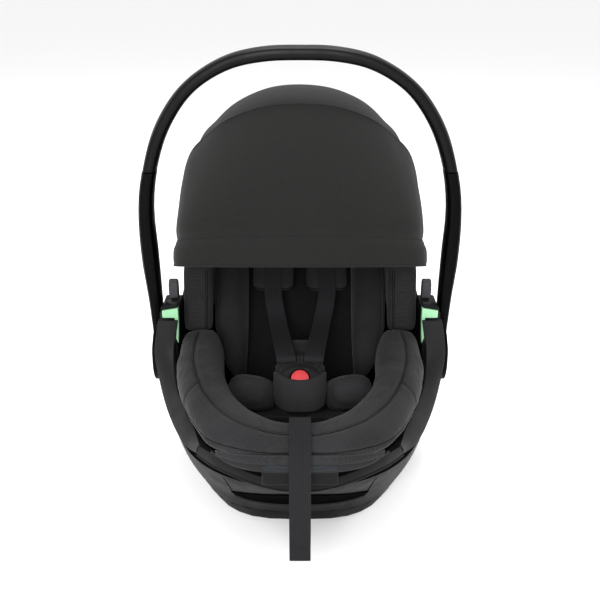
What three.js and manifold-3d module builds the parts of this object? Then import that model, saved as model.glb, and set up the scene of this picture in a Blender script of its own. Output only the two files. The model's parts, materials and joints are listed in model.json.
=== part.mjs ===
// Infant car seat: an outer shell with a carry handle and a folding canopy, and in it a padded
// tub that reclines, with a sliding headrest and a harness. Millimetres, +Z up; the foot end
// points along -Y, +X is the right-hand side seen from the foot end, and z = 0 is the floor.
import * as THREE from 'three';
import { mergeVertices } from 'three/addons/utils/BufferGeometryUtils.js';
import { RoundedBoxGeometry } from 'three/addons/geometries/RoundedBoxGeometry.js';
import Module from 'manifold-3d';

const wasm = await Module();
wasm.setup();
const { clamp, degToRad, lerp, smoothstep } = THREE.MathUtils;

// ---- driving dimensions ----------------------------------------------------------------
const GAP = 0.4;
const SIDES = [['right', 1], ['left', -1]];
const HUB = { z: 165, inner: 196, outer: 209, radius: 42, shaft: 11 };
const BASE = { height: 22, corner: 3, wall: 8, floor: 6 };
const SHELL = { front: 280, back: 345, halfWidth: 188, wall: 5, power: 2.2 };
const TRIM = { top: 145, rise: 3, drop: 19.6, sideDrop: 12, proud: 6, seam: degToRad(34), edge: 112 };
const HOUSING = { inner: 170.4, halfDepth: 46, foot: 116, top: 240 };
const TAB = { near: 172, width: 13, depth: 16, foot: 233, top: 277, slot: 226 };
const CANOPY = { y: 70, z: 276, skin: 3, pinRadius: 6, armRadius: 15 };
const FOLD = { seam: degToRad(112), brimTop: degToRad(153), brimEnd: degToRad(160.2) };
const TUB = { swingY: -20, swingZ: 520, swingRadius: 450, front: 322, back: 290, halfWidth: 148, wall: 4 };
const RIM = { outer: 176, taper: 0.066, front: 334, inner: 108, innerFront: 284, crest: 226 };
const BACK = { footY: -20, footZ: 90, slope: degToRad(42.7), length: 312, thick: 16 };
const BUCKLE = { y: -102, z: 177, slope: degToRad(48) };
const STRAP = { width: 26, thick: 2 };
const TAIL = { width: 24, thick: 2, end: 72 };

// ---- helpers -----------------------------------------------------------------------------
/** A size that changes evenly between a few [position, size] stations. */
function stations(...list) {
  return (at) => {
    const next = list.findIndex(([position], index) => index > 0 && at <= position);
    const last = next < 0 ? list.length - 1 : next;
    const [[from, start], [to, end]] = [list[last - 1], list[last]];
    return lerp(start, end, clamp((at - from) / (to - from), 0, 1));
  };
}

/** Welds a geometry's vertices, drops collapsed triangles and turns its faces outward. */
function closed(geometry) {
  geometry.deleteAttribute('normal');
  geometry.deleteAttribute('uv');
  const welded = mergeVertices(geometry, 1e-3);
  const { index, attributes: { position } } = welded;
  const corners = [0, 1, 2].map(() => new THREE.Vector3());
  const kept = [];
  let volume = 0;
  for (let start = 0; start < index.count; start += 3) {
    const triangle = [0, 1, 2].map((step) => index.getX(start + step));
    if (new Set(triangle).size === 3) {
      triangle.forEach((vertex, step) => corners[step].fromBufferAttribute(position, vertex));
      volume += corners[0].dot(corners[1].clone().cross(corners[2]));
      kept.push(triangle);
    }
  }
  welded.setIndex(kept.flatMap(([a, b, c]) => (volume > 0 ? [a, b, c] : [a, c, b])));
  return welded;
}

/** Moves each vertex of a geometry to place(x, y, z) and closes it again. */
function reshape(geometry, place) {
  const { position } = geometry.attributes;
  for (let vertex = 0; vertex < position.count; vertex += 1) {
    const moved = place(position.getX(vertex), position.getY(vertex), position.getZ(vertex));
    position.setXYZ(vertex, ...moved);
  }
  return closed(geometry);
}

/** A curved slab: place(u, v, w) takes 0..1 along, across and through it. */
function slab(along, across, through, place) {
  const block = new THREE.BoxGeometry(1, 1, 1, along, across, through);
  return reshape(block, (x, y, z) => place(x + 0.5, y + 0.5, z + 0.5));
}

/** Bends a circle's coordinate toward a rounded square. */
function squared(value, power) {
  return Math.sign(value) * Math.abs(value) ** (2 / power);
}

/** A closed bar: place(u, across, deep), u 0..1 along it and the other two -1..1 over its section. */
function bar(steps, sides, power, place) {
  const rod = new THREE.CylinderGeometry(1, 1, 1, sides, steps);
  return reshape(rod, (x, y, z) => place(y + 0.5, squared(x, power), squared(z, power)));
}

/** A shell turned about +Z and then shaped: place(angle, station) for each profile station. */
function turned(profile, segments, place) {
  const points = profile.map(({ spread }, row) => new THREE.Vector2(spread > 0 ? 1 : 0, row));
  const lathe = new THREE.LatheGeometry(points, segments);
  return reshape(lathe, (x, row, z) => place(Math.atan2(z, x), profile[Math.round(row)]));
}

/** A soft block: a box with rounded edges. */
function cushion(width, depth, height, radius) {
  return closed(new RoundedBoxGeometry(width, depth, height, 2, radius));
}

/** An outline in one plane, thickened: axis 'x' puts the outline in YZ, axis 'y' in XZ. */
function plate(points, thickness, axis, bevel = 0) {
  const shape = new THREE.Shape(points.map(([a, b]) => new THREE.Vector2(a, b)));
  const depth = thickness - 2 * bevel;
  const bevels = { bevelEnabled: bevel > 0, bevelSize: bevel, bevelThickness: bevel, bevelOffset: -bevel };
  const extruded = new THREE.ExtrudeGeometry(shape, { depth, bevelSegments: 1, ...bevels });
  extruded.translate(0, 0, bevel);
  return reshape(extruded, (a, b, t) => (axis === 'x' ? [t, a, b] : [a, t, b]));
}

/** A round pin along X from x = from to x = to. */
function pin(radius, from, to, y, z, sides = 20) {
  const cylinder = new THREE.CylinderGeometry(radius, radius, to - from, sides);
  return closed(cylinder.rotateZ(Math.PI / 2).translate((from + to) / 2, y, z));
}

function box(x, y, z) {
  const [width, depth, height] = [x, y, z].map(([low, high]) => high - low);
  const [cx, cy, cz] = [x, y, z].map(([low, high]) => (low + high) / 2);
  return closed(new THREE.BoxGeometry(width, depth, height).translate(cx, cy, cz));
}

function solid(geometry) {
  const vertProperties = new Float32Array(geometry.attributes.position.array);
  const triVerts = new Uint32Array(geometry.index.array);
  return new wasm.Manifold(new wasm.Mesh({ numProp: 3, vertProperties, triVerts }));
}

function unsolid(manifold) {
  const { vertProperties, triVerts } = manifold.getMesh();
  const geometry = new THREE.BufferGeometry();
  geometry.setAttribute('position', new THREE.BufferAttribute(new Float32Array(vertProperties), 3));
  geometry.setIndex(new THREE.BufferAttribute(new Uint32Array(triVerts), 1));
  return geometry;
}

function join(...geometries) {
  return unsolid(geometries.map(solid).reduce((sum, next) => sum.add(next)));
}

function cut(geometry, ...tools) {
  return unsolid(tools.map(solid).reduce((rest, tool) => rest.subtract(tool), solid(geometry)));
}

/** The same part on the other side of the seat. */
function onSide(geometry, sign) {
  return sign > 0 ? geometry : closed(geometry.clone().scale(-1, 1, 1));
}

// ---- materials ---------------------------------------------------------------------------
function finish(color, roughness, metalness = 0) {
  return () => new THREE.MeshStandardMaterial({ color, roughness, metalness });
}
const SHELL_PLASTIC = finish(0x1d1d1f, 0.5);
const HANDLE_PLASTIC = finish(0x19191b, 0.42);
const TUB_PLASTIC = finish(0x2b2b2d, 0.55);
const GREY_PLASTIC = finish(0x4a4a4e, 0.5);
const BAR_PLASTIC = finish(0x34383d, 0.5);
const GUIDE_PLASTIC = finish(0x86b78f, 0.45);
const BUTTON_PLASTIC = finish(0xe24b50, 0.4);
const CANOPY_FABRIC = finish(0x323231, 0.9);
const SEAT_FABRIC = finish(0x222223, 0.9);
const WEBBING = finish(0x1c1c1d, 0.8);
const STEEL = finish(0x9a9ca0, 0.35, 1);

// ---- outer shell ---------------------------------------------------------------------------
const shellHalfWidth = stations(
  [0, 130], [22, 146], [35, 156], [62, 170], [100, 181],
  [140, SHELL.halfWidth], [200, SHELL.halfWidth], [320, 175],
);
const shellPower = stations([0, 3], [60, 2.6], [120, SHELL.power]);
const shellFront = stations([0, 180], [48, 203], [118, SHELL.front - 2], [140, SHELL.front]);
const shellBack = stations([0, 200], [100, 262], [160, 300], [240, 332], [320, SHELL.back]);
const shellRim = stations(
  [-280, 124], [-180, TRIM.edge], [-20, 116], [20, 176], [90, 205], [165, 285], [260, 318],
);

/** A point of a plan outline whose front and back halves differ in length. */
function plan(angle, halfWidth, front, back, power) {
  const y = squared(Math.sin(angle), power);
  return [halfWidth * squared(Math.cos(angle), power), y * (y > 0 ? back : front)];
}

function shellPlan(angle, z, grow) {
  const sizes = [shellHalfWidth(z), shellFront(z), shellBack(z)].map((size) => size + grow);
  return plan(angle, ...sizes, shellPower(z));
}

function shellTop(angle) {
  return shellRim(plan(angle, SHELL.halfWidth, SHELL.front, SHELL.back, SHELL.power)[1]);
}

/** The rigid bucket that carries everything, open at the top, cut for the handle housings. */
function outerShell() {
  const foot = BASE.height + GAP;
  const levels = [0, 0.22, 0.5, 0.85, 1];
  const wall = (level, grow) => ({ spread: 1, level, grow });
  const profile = [
    { spread: 0, level: 0, grow: 0 },
    ...levels.map((level) => wall(level, 0)),
    ...levels.map((level) => wall(level, -SHELL.wall)).reverse(),
    { spread: 0, level: 0, grow: -SHELL.wall },
  ];
  const bucket = turned(profile, 44, (angle, { spread, level, grow }) => {
    const lift = level === 0 ? -grow : 0;
    const z = lerp(foot, shellTop(angle), level) + lift;
    return spread > 0 ? [...shellPlan(angle, z, grow), z] : [0, 0, foot - grow];
  });
  const notch = HOUSING.halfDepth + GAP;
  const notches = SIDES.map(([, sign]) => {
    const x = [HOUSING.inner - 10, HUB.outer].map((value) => value * sign).sort((a, b) => a - b);
    return box(x, [-notch, notch], [HOUSING.foot - GAP, 300]);
  });
  return cut(bucket, ...notches);
}

/** The tray under the shell; its flat underside is what the seat stands on. */
function baseTray() {
  const levels = [0, BASE.corner, BASE.height];
  const edge = (z) => ({ spread: 1, z, grow: z === 0 ? -BASE.corner : 0 });
  const inside = [BASE.height, BASE.floor].map((z) => ({ spread: 1, z, grow: -BASE.wall }));
  const profile = [{ spread: 0, z: 0 }, ...levels.map(edge), ...inside, { spread: 0, z: BASE.floor }];
  const tray = turned(profile, 36, (angle, { spread, z, grow }) => (
    spread > 0 ? [...shellPlan(angle, z, grow), z] : [0, 0, z]
  ));
  const pockets = LATCH_BAR_ROWS.map((y) => box([-62, 62], [y - 16, y + 16], [-1, 15]));
  const grooves = LATCH_BAR_ROWS.map((y) => pin(5.4, -80, 80, y, LATCH_BAR_Z, 12));
  return cut(tray, ...pockets, ...grooves);
}

const LATCH_BAR_ROWS = [-110, 110];
const LATCH_BAR_Z = 8;

/** A steel bar across a pocket of the tray, which a vehicle base or a pushchair grips. */
function latchBar(y) {
  return pin(5, -79.5, 79.5, y, LATCH_BAR_Z, 12);
}

/** A band that follows the shell's plan: edges(u) gives its angle, foot, top and two offsets. */
function band(steps, rows, edges) {
  return slab(steps, rows, 1, (u, v, w) => {
    const { angle, foot, top, inside, outside } = edges(u, v);
    const z = lerp(foot, top, v);
    const wall = plan(angle, SHELL.halfWidth, SHELL.front, SHELL.back, SHELL.power);
    const length = Math.hypot(...wall);
    const grow = lerp(inside, outside, w);
    return [wall[0] * (1 + grow / length), wall[1] * (1 + grow / length), z];
  });
}

/** The U-shaped moulding around the foot end. */
function frontTrim() {
  const spread = Math.PI / 2 - TRIM.seam;
  return band(24, 3, (u, v) => {
    const turn = lerp(-spread, spread, u);
    const side = Math.abs(turn / spread) ** 2;
    const lip = Math.sin(v * Math.PI) * 2;
    return {
      angle: -Math.PI / 2 + turn,
      foot: TRIM.top - TRIM.drop - side * TRIM.sideDrop,
      top: TRIM.top + side * TRIM.rise,
      inside: lerp(-4, 2, v ** 0.6),
      outside: TRIM.proud - 1 + lip,
    };
  });
}

/** The side moulding: it meets the front one at a seam and ends in a square fin by the hub. */
function sideTrim() {
  const end = Math.asin(((HOUSING.halfDepth + 14.5) / SHELL.front) ** (SHELL.power / 2));
  return band(10, 4, (u, v) => {
    const rise = smoothstep(u, 0.4, 0.94);
    return {
      angle: lerp(-TRIM.seam + 0.01, -end, u),
      foot: lerp(TRIM.top - TRIM.drop - TRIM.sideDrop, 119, u),
      top: lerp(TRIM.top + TRIM.rise, 236, rise),
      inside: lerp(lerp(-4, 2, v ** 0.6), -1, smoothstep(u, 0.1, 0.5)),
      outside: lerp(TRIM.proud - 1, 17, smoothstep(u, 0.35, 1)) - 3 * v ** 6,
    };
  });
}

/** The block on each side that the handle turns on, with a slot for the release tab. */
function hubHousing() {
  const { halfDepth, foot, top, inner } = HOUSING;
  const shoulder = top - 34;
  const outline = [
    [-halfDepth, foot], [halfDepth, foot], [halfDepth, shoulder],
    [30, top], [-30, top], [-halfDepth, shoulder],
  ];
  const block = plate(outline, HUB.inner - GAP - inner, 'x', 1.5).translate(inner, 0, 0);
  const clear = GAP + 0.1;
  const slot = box(
    [TAB.near - clear, TAB.near + TAB.width + clear],
    [-TAB.depth / 2 - clear, TAB.depth / 2 + clear],
    [TAB.slot, top + 5],
  );
  return cut(block, slot);
}

/** The bolt that the handle's hub turns on, with its round cover. */
function hubBolt() {
  const shaft = pin(HUB.shaft, HUB.inner - 0.1, HUB.outer + 2, 0, HUB.z, 24);
  const cover = pin(20, HUB.outer + 1.4, HUB.outer + 4.4, 0, HUB.z, 24);
  return join(shaft, cover);
}

/** The upright grey tab on top of each housing: pressed down, it frees the seat's side locks. */
function releaseTab() {
  const [low, high] = [-TAB.depth / 2, TAB.depth / 2];
  const round = [[high, TAB.top - 5], [high - 5, TAB.top], [low + 5, TAB.top], [low, TAB.top - 5]];
  return plate([[low, TAB.foot], [high, TAB.foot], ...round], TAB.width, 'x', 1.5).translate(TAB.near, 0, 0);
}

/** The green hook that the lap belt of the vehicle runs under. */
function beltGuide() {
  const outline = [
    [167, 192], [171, 214], [176, 238], [190, 238], [190, 247], [187, 250], [168, 251], [166.5, 248],
  ];
  return plate(outline, 8, 'y', 1.2).translate(0, -HOUSING.halfDepth - 8.8, 0);
}

/** The green hook on the back of the shell that the shoulder belt runs behind. */
function rearBeltGuide() {
  const hook = [[0, 0], [6, 0], [24, 22], [24, 40], [17, 40], [17, 25], [6, 12], [0, 12]];
  const z = 255;
  return plate(hook, 70, 'x', 1).translate(-35, shellBack(z + 12) + GAP + 0.6, z);
}

/** The lever at the head end that frees the latch bars. */
function rearLever() {
  const halfTurn = degToRad(9);
  return slab(4, 3, 1, (u, v, w) => {
    const z = lerp(LEVER.top - 46, LEVER.top, v);
    const angle = Math.PI / 2 + lerp(-halfTurn, halfTurn, u);
    return [...shellPlan(angle, z, lerp(1.2, 8, w)), z];
  });
}

const LEVER = { top: 238 };

// ---- carry handle ----------------------------------------------------------------------------
// Control points of the arch from the right hub to its crown: x and height over the hub axis.
const OUTER_RAIL = [[209, 0], [213.5, 80], [219.6, 150], [219, 215], [210.5, 268], [190, 329], [153, 381],
  [101, 415], [50, 428], [0, 430]];
const INNER_RAIL = [[196, 0], [196, 80], [197, 150], [199, 212], [191, 268], [172, 322], [139, 369],
  [94, 398], [48, 409], [0, 411]];
const HANDLE = { halfDepth: 18, joint: 4 / 18 };

function rail(points) {
  const mirrored = points.slice(0, -1).map(([x, height]) => [-x, height]).reverse();
  return new THREE.SplineCurve([...points, ...mirrored].map(([x, height]) => new THREE.Vector2(x, height)));
}

const outerRail = rail(OUTER_RAIL);
const innerRail = rail(INNER_RAIL);

/** A stretch of the arch between two fractions of its length. */
function archStretch(from, to, steps, halfDepth) {
  return bar(steps, 12, 3, (u, across, deep) => {
    const at = lerp(from, to, u);
    const [outer, inner] = [outerRail.getPoint(at), innerRail.getPoint(at)];
    const middle = outer.clone().add(inner).multiplyScalar(0.5);
    const reach = outer.sub(inner).multiplyScalar(across / 2);
    return [middle.x + reach.x, deep * halfDepth, HUB.z + middle.y + reach.y];
  });
}

function handleTop() {
  return archStretch(HANDLE.joint + 0.001, 1 - HANDLE.joint - 0.001, 40, HANDLE.halfDepth - 1.2);
}

/** The lower arm of the handle with its round hub and the hole for the bolt. */
function handleLeg() {
  const arm = archStretch(0.012, HANDLE.joint, 12, HANDLE.halfDepth);
  const hub = pin(HUB.radius, HUB.inner, HUB.outer, 0, HUB.z, 32);
  const bore = pin(HUB.shaft + GAP, HUB.inner - 5, HUB.outer + 5, 0, HUB.z, 24);
  return cut(join(arm, hub), bore);
}

// ---- canopy ------------------------------------------------------------------------------------
// Hoops of the canopy, right side to crown: x and distance from the fold axis.
const REAR_HOOP = [[150, 24], [150, 105], [140, 178], [116, 208], [86, 233], [45, 250], [0, 255]];
const SEAM_HOOP = [[161, 45], [161, 125], [145, 190], [120, 222], [90, 247], [47, 265], [0, 270]];
const BRIM_HOOP = [[158, 45], [157, 150], [152, 215], [141, 243], [108, 258], [60, 267], [0, 270]];
const rearReach = stations([0, 258], [45, 250], [83, 257], [115, 262]);

function hoopPoint(points, u, inset) {
  const curve = rail(points);
  const side = curve.getTangent(u);
  return curve.getPoint(u).add(new THREE.Vector2(side.y, -side.x).multiplyScalar(-inset));
}

/** Places a hoop's point in the plane that stands at an angle to the head end. */
function folded(hoop, angle) {
  return [hoop.x, CANOPY.y + hoop.y * Math.cos(angle), CANOPY.z + hoop.y * Math.sin(angle)];
}

function canopyRear() {
  const [low, high] = [4, 115];
  return slab(24, 8, 1, (u, v, w) => {
    const turn = lerp(low, high, v);
    const hoop = hoopPoint(REAR_HOOP, u, lerp(CANOPY.skin, 0, w));
    hoop.x *= 1 - 0.2 * smoothstep(hoop.y, 60, 150) * (1 - smoothstep(turn, low, 50));
    hoop.y *= rearReach(turn) / 255;
    return folded(hoop, degToRad(turn));
  });
}

/** A point of the front section: its hoops grow from round at the seam to square at the brim. */
function frontPoint(u, angle, inset) {
  const blend = (angle - FOLD.seam) / (FOLD.brimEnd - FOLD.seam);
  const [round, square] = [hoopPoint(SEAM_HOOP, u, inset), hoopPoint(BRIM_HOOP, u, inset)];
  const hoop = round.lerp(square, blend);
  hoop.x *= 1 + 0.018 * Math.sin(Math.PI * clamp(blend, 0, 1));
  return folded(hoop, angle);
}

function canopyFront() {
  return slab(24, 6, 1, (u, v, w) => (
    frontPoint(u, lerp(FOLD.seam, FOLD.brimTop - 0.004, v), lerp(CANOPY.skin, 0, w))
  ));
}

/** The padded band along the front edge, between its two rounded lower corners. */
function canopyBrim() {
  const [start, end] = [0.155, 0.845];
  return slab(26, 2, 1, (u, v, w) => {
    const at = lerp(start, end, u);
    const corner = Math.min(u, 1 - u) * 26;
    const cornerLift = corner < 1 ? 0.03 * (1 - corner) : 0;
    const angle = lerp(FOLD.brimTop, FOLD.brimEnd - cornerLift, v);
    return frontPoint(at, angle, lerp(7, -3, w));
  });
}

/** The flat arm on each side that carries the brim and turns on the canopy's pin. */
function canopyArm() {
  const [near, far] = [151.2, 154.4];
  const angle = degToRad(155);
  const arm = slab(6, 1, 1, (u, v, w) => {
    const along = lerp(0, 196, u);
    const across = lerp(-7, 7, v);
    const y = CANOPY.y + along * Math.cos(angle) - across * Math.sin(angle);
    const z = CANOPY.z + along * Math.sin(angle) + across * Math.cos(angle);
    return [lerp(near, far, w) - 5 * u ** 3, y, z];
  });
  const eye = pin(CANOPY.armRadius, near, far, CANOPY.y, CANOPY.z);
  const bore = pin(CANOPY.pinRadius + GAP, near - 5, far + 5, CANOPY.y, CANOPY.z);
  return cut(join(arm, eye), bore);
}

/** The pin on the shell's side wall that the canopy folds about. */
function canopyPin() {
  const wall = 165.6;
  const shaft = pin(CANOPY.pinRadius, 149, wall, CANOPY.y, CANOPY.z);
  const head = pin(11, 147.6, 150.6, CANOPY.y, CANOPY.z);
  return join(shaft, head);
}

// ---- tub ------------------------------------------------------------------------------------------
const tubHalfWidth = stations([60, 118], [110, 142], [150, TUB.halfWidth]);
const tubRim = stations([-322, 187], [-260, 171], [-160, 152], [-16, 150], [10, 188], [150, 194], [290, 238]);

/** The height of the tub's round bottom, which slides on an arc about a line above the seat. */
function arcHeight(y) {
  return TUB.swingZ - Math.sqrt(TUB.swingRadius ** 2 - (y - TUB.swingY) ** 2);
}

function tubPoint(angle, spread, grow) {
  const [fullX, fullY] = plan(angle, TUB.halfWidth, TUB.front, TUB.back, 2.5);
  const floor = arcHeight(fullY * spread) + 34 * Math.abs(fullX * spread / TUB.halfWidth) ** 3;
  const z = lerp(floor, Math.max(tubRim(fullY), floor + 2), smoothstep(spread, 0.86, 1));
  const draw = tubHalfWidth(z) / TUB.halfWidth;
  const inset = 1 + grow / TUB.halfWidth;
  return [fullX * spread * draw * inset, fullY * spread * inset, z];
}

/** The seat's own rigid tub. */
function innerTub() {
  const rows = [0.45, 0.8, 0.88, 0.94, 1];
  const profile = [
    { spread: 0, grow: 0 },
    ...rows.map((spread) => ({ spread, grow: 0 })),
    ...rows.map((spread) => ({ spread, grow: -TUB.wall })).reverse(),
    { spread: 0, grow: -TUB.wall },
  ];
  return turned(profile, 40, (angle, { spread, grow }) => {
    const [x, y, z] = tubPoint(angle, spread, grow);
    const lift = -grow * smoothstep(1 - spread, 0, 0.2);
    return [x, y, z + lift];
  });
}

/** The pale moulding along the tub's front edge, with a pocket for the recline bar. */
function tubFrontRim() {
  const spread = degToRad(50);
  const moulding = slab(20, 2, 1, (u, v, w) => {
    const angle = -Math.PI / 2 + lerp(-spread, spread, u);
    const [x, y] = plan(angle, TUB.halfWidth, TUB.front, TUB.back, 2.5);
    const grow = 1 + (GAP + 0.6 + w * 6) / Math.hypot(x, y);
    const top = tubRim(y) + 1;
    return [x * grow, y * grow, lerp(top - 15, top, v)];
  });
  return cut(moulding, box([-42.5, 42.5], [-335, -325.2], [181, 195]));
}

/** The bar under the front edge that is pulled to recline the tub. */
function reclineBar() {
  return cushion(84, 9, 7, 2).translate(0, -330.2, 185.6);
}

/** The latch block behind the bar, under the tub's front edge. */
function reclineLatch() {
  return cushion(86, 14, 20, 3).translate(0, -308, 164);
}

/** The U-shaped padded rim around the foot end of the tub. */
function rimPad() {
  const end = degToRad(4);
  return bar(30, 12, 2.6, (u, across, deep) => {
    const angle = lerp(-end, -Math.PI + end, u);
    const outer = plan(angle, RIM.outer, RIM.front, 0, 2.5);
    const inner = plan(angle, RIM.inner, RIM.innerFront, 0, 2.2);
    const foot = smoothstep(-outer[1], 140, RIM.front);
    const half = lerp(26, 17.5, foot);
    const middle = lerp(RIM.crest - 5, RIM.crest, foot) - half;
    const mix = (across + 1) / 2;
    const draw = 1 - RIM.taper * smoothstep(outer[1], -130, -52);
    return [lerp(inner[0], outer[0] * draw, mix), lerp(inner[1], outer[1], mix), middle + deep * half];
  });
}

/** The padded wall around the head end of the tub. */
function headSurround() {
  const top = stations([-20, 262], [30, 292], [180, 300], [270, 306]);
  const foot = stations([0, 197], [150, 203], [270, 246]);
  const end = degToRad(3);
  return slab(20, 3, 1, (u, v, w) => {
    const angle = lerp(-end, Math.PI + end, u);
    const [x, y] = plan(angle, lerp(120, 144.5, w), 150, lerp(250, 274, w), lerp(3, 2.5, w));
    const wide = lerp(0.09 * (1 - smoothstep(y, 84, 150)), 0.13 * (1 - smoothstep(y, 0, 50)), w);
    return [x * (1 + wide), y, lerp(foot(y), top(y), v)];
  });
}

// ---- seat pads ----------------------------------------------------------------------------------
/** A point over the backrest: x across, the way up it, and the height over its surface. */
function onBack(x, along, lift) {
  const [c, s] = [Math.cos(BACK.slope), Math.sin(BACK.slope)];
  return [x, BACK.footY + along * c - lift * s, BACK.footZ + along * s + lift * c];
}

function backPad() {
  return bar(10, 12, 4, (u, across, deep) => {
    const along = lerp(14, BACK.length, u);
    const half = lerp(60, 66, u);
    return onBack(across * half, along, -BACK.thick / 2 + (deep * BACK.thick) / 2);
  });
}

/** The seat's sloping front half, from the lowest point up to the padded rim. */
function seatPad() {
  const slope = new THREE.SplineCurve([[-272, 190], [-205, 160], [-130, 131], [-62, 104], [-22, 100]]
    .map(([y, z]) => new THREE.Vector2(y, z)));
  const halfWidth = stations([-276, 30], [-240, 60], [-180, 84], [-100, 92], [-60, 86], [-22, 76]);
  const raised = stations([-272, 0], [-240, 4], [-205, 22], [-140, 2]);
  const pad = bar(12, 14, 4, (u, across, deep) => {
    const { x: y, y: z } = slope.getPoint(u);
    return [across * halfWidth(y), y, z - 8 + deep * 8 + raised(y) * Math.abs(across) ** 4];
  });
  const slot = reshape(box([-14, 14], [-19, -9], [-90, -40]), (x, lift, along) => onBuckle(x, along, lift));
  return cut(pad, slot);
}

/** The inner side wing of the liner, between the backrest and the padded wall. */
const WING_EDGE = stations([0, 88], [0.15, 102], [0.4, 112], [1, 115]);

function linerWing() {
  return bar(8, 10, 3, (u, across, deep) => {
    const along = lerp(26, 218, u);
    const height = lerp(34, 66, smoothstep(u, 0, 0.6));
    const lean = lerp(0, 9, (deep + 1) / 2);
    return onBack(lerp(73, WING_EDGE(u), (across + 1) / 2) + lean, along, 4 + (height * (deep + 1)) / 2);
  });
}

function thighCushion() {
  return cushion(54, 76, 44, 19).rotateX(degToRad(-32)).rotateZ(degToRad(16)).translate(64, -101, 151);
}

// ---- headrest --------------------------------------------------------------------------------------
const HEAD = { from: 236, to: 334, lift: 0.6 };

/** The headrest's hard back plate with its two wings. */
function headShell() {
  return slab(24, 3, 1, (u, v, w) => {
    const across = 2 * u - 1;
    const bend = smoothstep(Math.abs(across), 0.72, 1);
    const x = across * 100;
    const lift = HEAD.lift + w * 5 + bend * 66;
    return onBack(x * lerp(1, 0.99, v), lerp(HEAD.from, HEAD.to, v), lift);
  });
}

function headPad() {
  return slab(24, 3, 1, (u, v, w) => {
    const across = 2 * u - 1;
    const bend = smoothstep(Math.abs(across), 0.78, 1);
    const x = across * 92;
    const lift = HEAD.lift + 5 + GAP + 0.6 + w * 15 + bend * 60;
    return onBack(x, lerp(HEAD.from + 3, HEAD.to - 3, v), lift);
  });
}

/** The grip at the headrest's top edge, by which it is slid up and down. */
function headPull() {
  const outline = [[-30, 0], [-30, 14], [-24, 20], [24, 20], [30, 14], [30, 0]];
  const [, y, z] = onBack(0, HEAD.to + 1, HEAD.lift);
  return closed(plate(outline, 6, 'y', 1).rotateX(BACK.slope - Math.PI / 2).translate(0, y, z));
}

// ---- harness -----------------------------------------------------------------------------------------
/** A point over the buckle's own plane: x across, the way up it, and the height over it. */
function onBuckle(x, along, lift) {
  const [c, s] = [Math.cos(BUCKLE.slope), Math.sin(BUCKLE.slope)];
  return [x, BUCKLE.y + along * c - lift * s, BUCKLE.z + along * s + lift * c];
}

/** The pad behind the buckle, whose upper end leans back under the straps. */
function crotchPad() {
  const [foot, bend, top] = [-48, 20, 66];
  return bar(10, 12, 4, (u, across, deep) => {
    const along = lerp(foot, top, u);
    const half = lerp(26, 35, smoothstep(along, foot, -10)) - 12 * smoothstep(along, bend, top);
    return onBuckle(across * half, along, -12 - 0.95 * Math.max(0, along - bend) + deep * 7);
  });
}

/** The strap that holds the buckle down to the seat. */
function crotchStrap() {
  return slab(3, 1, 1, (u, v, w) => onBuckle(lerp(-12, 12, v), lerp(-66, -48.6, u), lerp(-16, -12, w)));
}

function buckleHousing() {
  const outline = [[-22, -16], [22, -16], [28, 2], [25, 12], [-25, 12], [-28, 2]];
  const block = plate(outline, 16, 'y', 2);
  const placed = reshape(block, (x, lift, along) => onBuckle(x, along, lift - 4.4));
  return cut(placed, buttonDisc(BUTTON.radius + GAP, 1, 14));
}

const BUTTON = { radius: 12, along: -6 };

/** A round disc in the buckle's plane between two heights over it. */
function buttonDisc(radius, low, high) {
  const disc = new THREE.CylinderGeometry(radius, radius, high - low, 24);
  return reshape(disc, (x, lift, along) => onBuckle(x, along + BUTTON.along, lift + (low + high) / 2));
}

function buckleButton() {
  return buttonDisc(BUTTON.radius, 6, 14.6);
}

/** The pocket on the front of the crotch pad that the buckle sits in. */
function crotchPocket() {
  return slab(12, 6, 1, (u, v, w) => {
    const across = 2 * u - 1;
    const along = lerp(-47 + 7 * across ** 4, lerp(-11, 3, across ** 2), v);
    const half = lerp(28, 36, smoothstep(along, -50, -15));
    return onBuckle(across * half, along, lerp(15.4, 19, w) - 12 * across ** 4);
  });
}

/** The tongue at the end of each harness strap, lying over the top of the buckle. */
function tongue() {
  const outline = [[3.5, 0], [24, 0], [30, 6], [30, 13], [6, 16], [3.5, 12]];
  const blade = plate(outline, 4, 'y', 0.5);
  return reshape(blade, (x, lift, along) => onBuckle(x, along + 13.6, lift + 1));
}

const STRAP_FOOT = { x: 15, along: 31, lift: 3 };
const STRAP_HEAD = { x: 41, lift: 28 };
const SLEEVE = { from: 166, to: 236 };

/** The harness strap from its tongue up into the shoulder pad. */
function harnessStrap() {
  const route = new THREE.CatmullRomCurve3([
    onBuckle(STRAP_FOOT.x, STRAP_FOOT.along, STRAP_FOOT.lift),
    onBack(31, 100, STRAP_HEAD.lift + 22),
    onBack(STRAP_HEAD.x - 1, SLEEVE.from - 8, STRAP_HEAD.lift),
    onBack(STRAP_HEAD.x, SLEEVE.from + 20, STRAP_HEAD.lift),
    onBack(STRAP_HEAD.x, SLEEVE.to - 6, STRAP_HEAD.lift),
  ].map((point) => new THREE.Vector3(...point)));
  return slab(16, 1, 1, (u, v, w) => {
    const along = route.getTangentAt(u);
    const across = new THREE.Vector3(1, 0, 0).addScaledVector(along, -along.x).normalize();
    const up = across.clone().cross(along);
    const point = route.getPointAt(u);
    point.addScaledVector(across, lerp(-STRAP.width / 2, STRAP.width / 2, v));
    return point.addScaledVector(up, lerp(-STRAP.thick / 2, STRAP.thick / 2, w)).toArray();
  });
}

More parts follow.
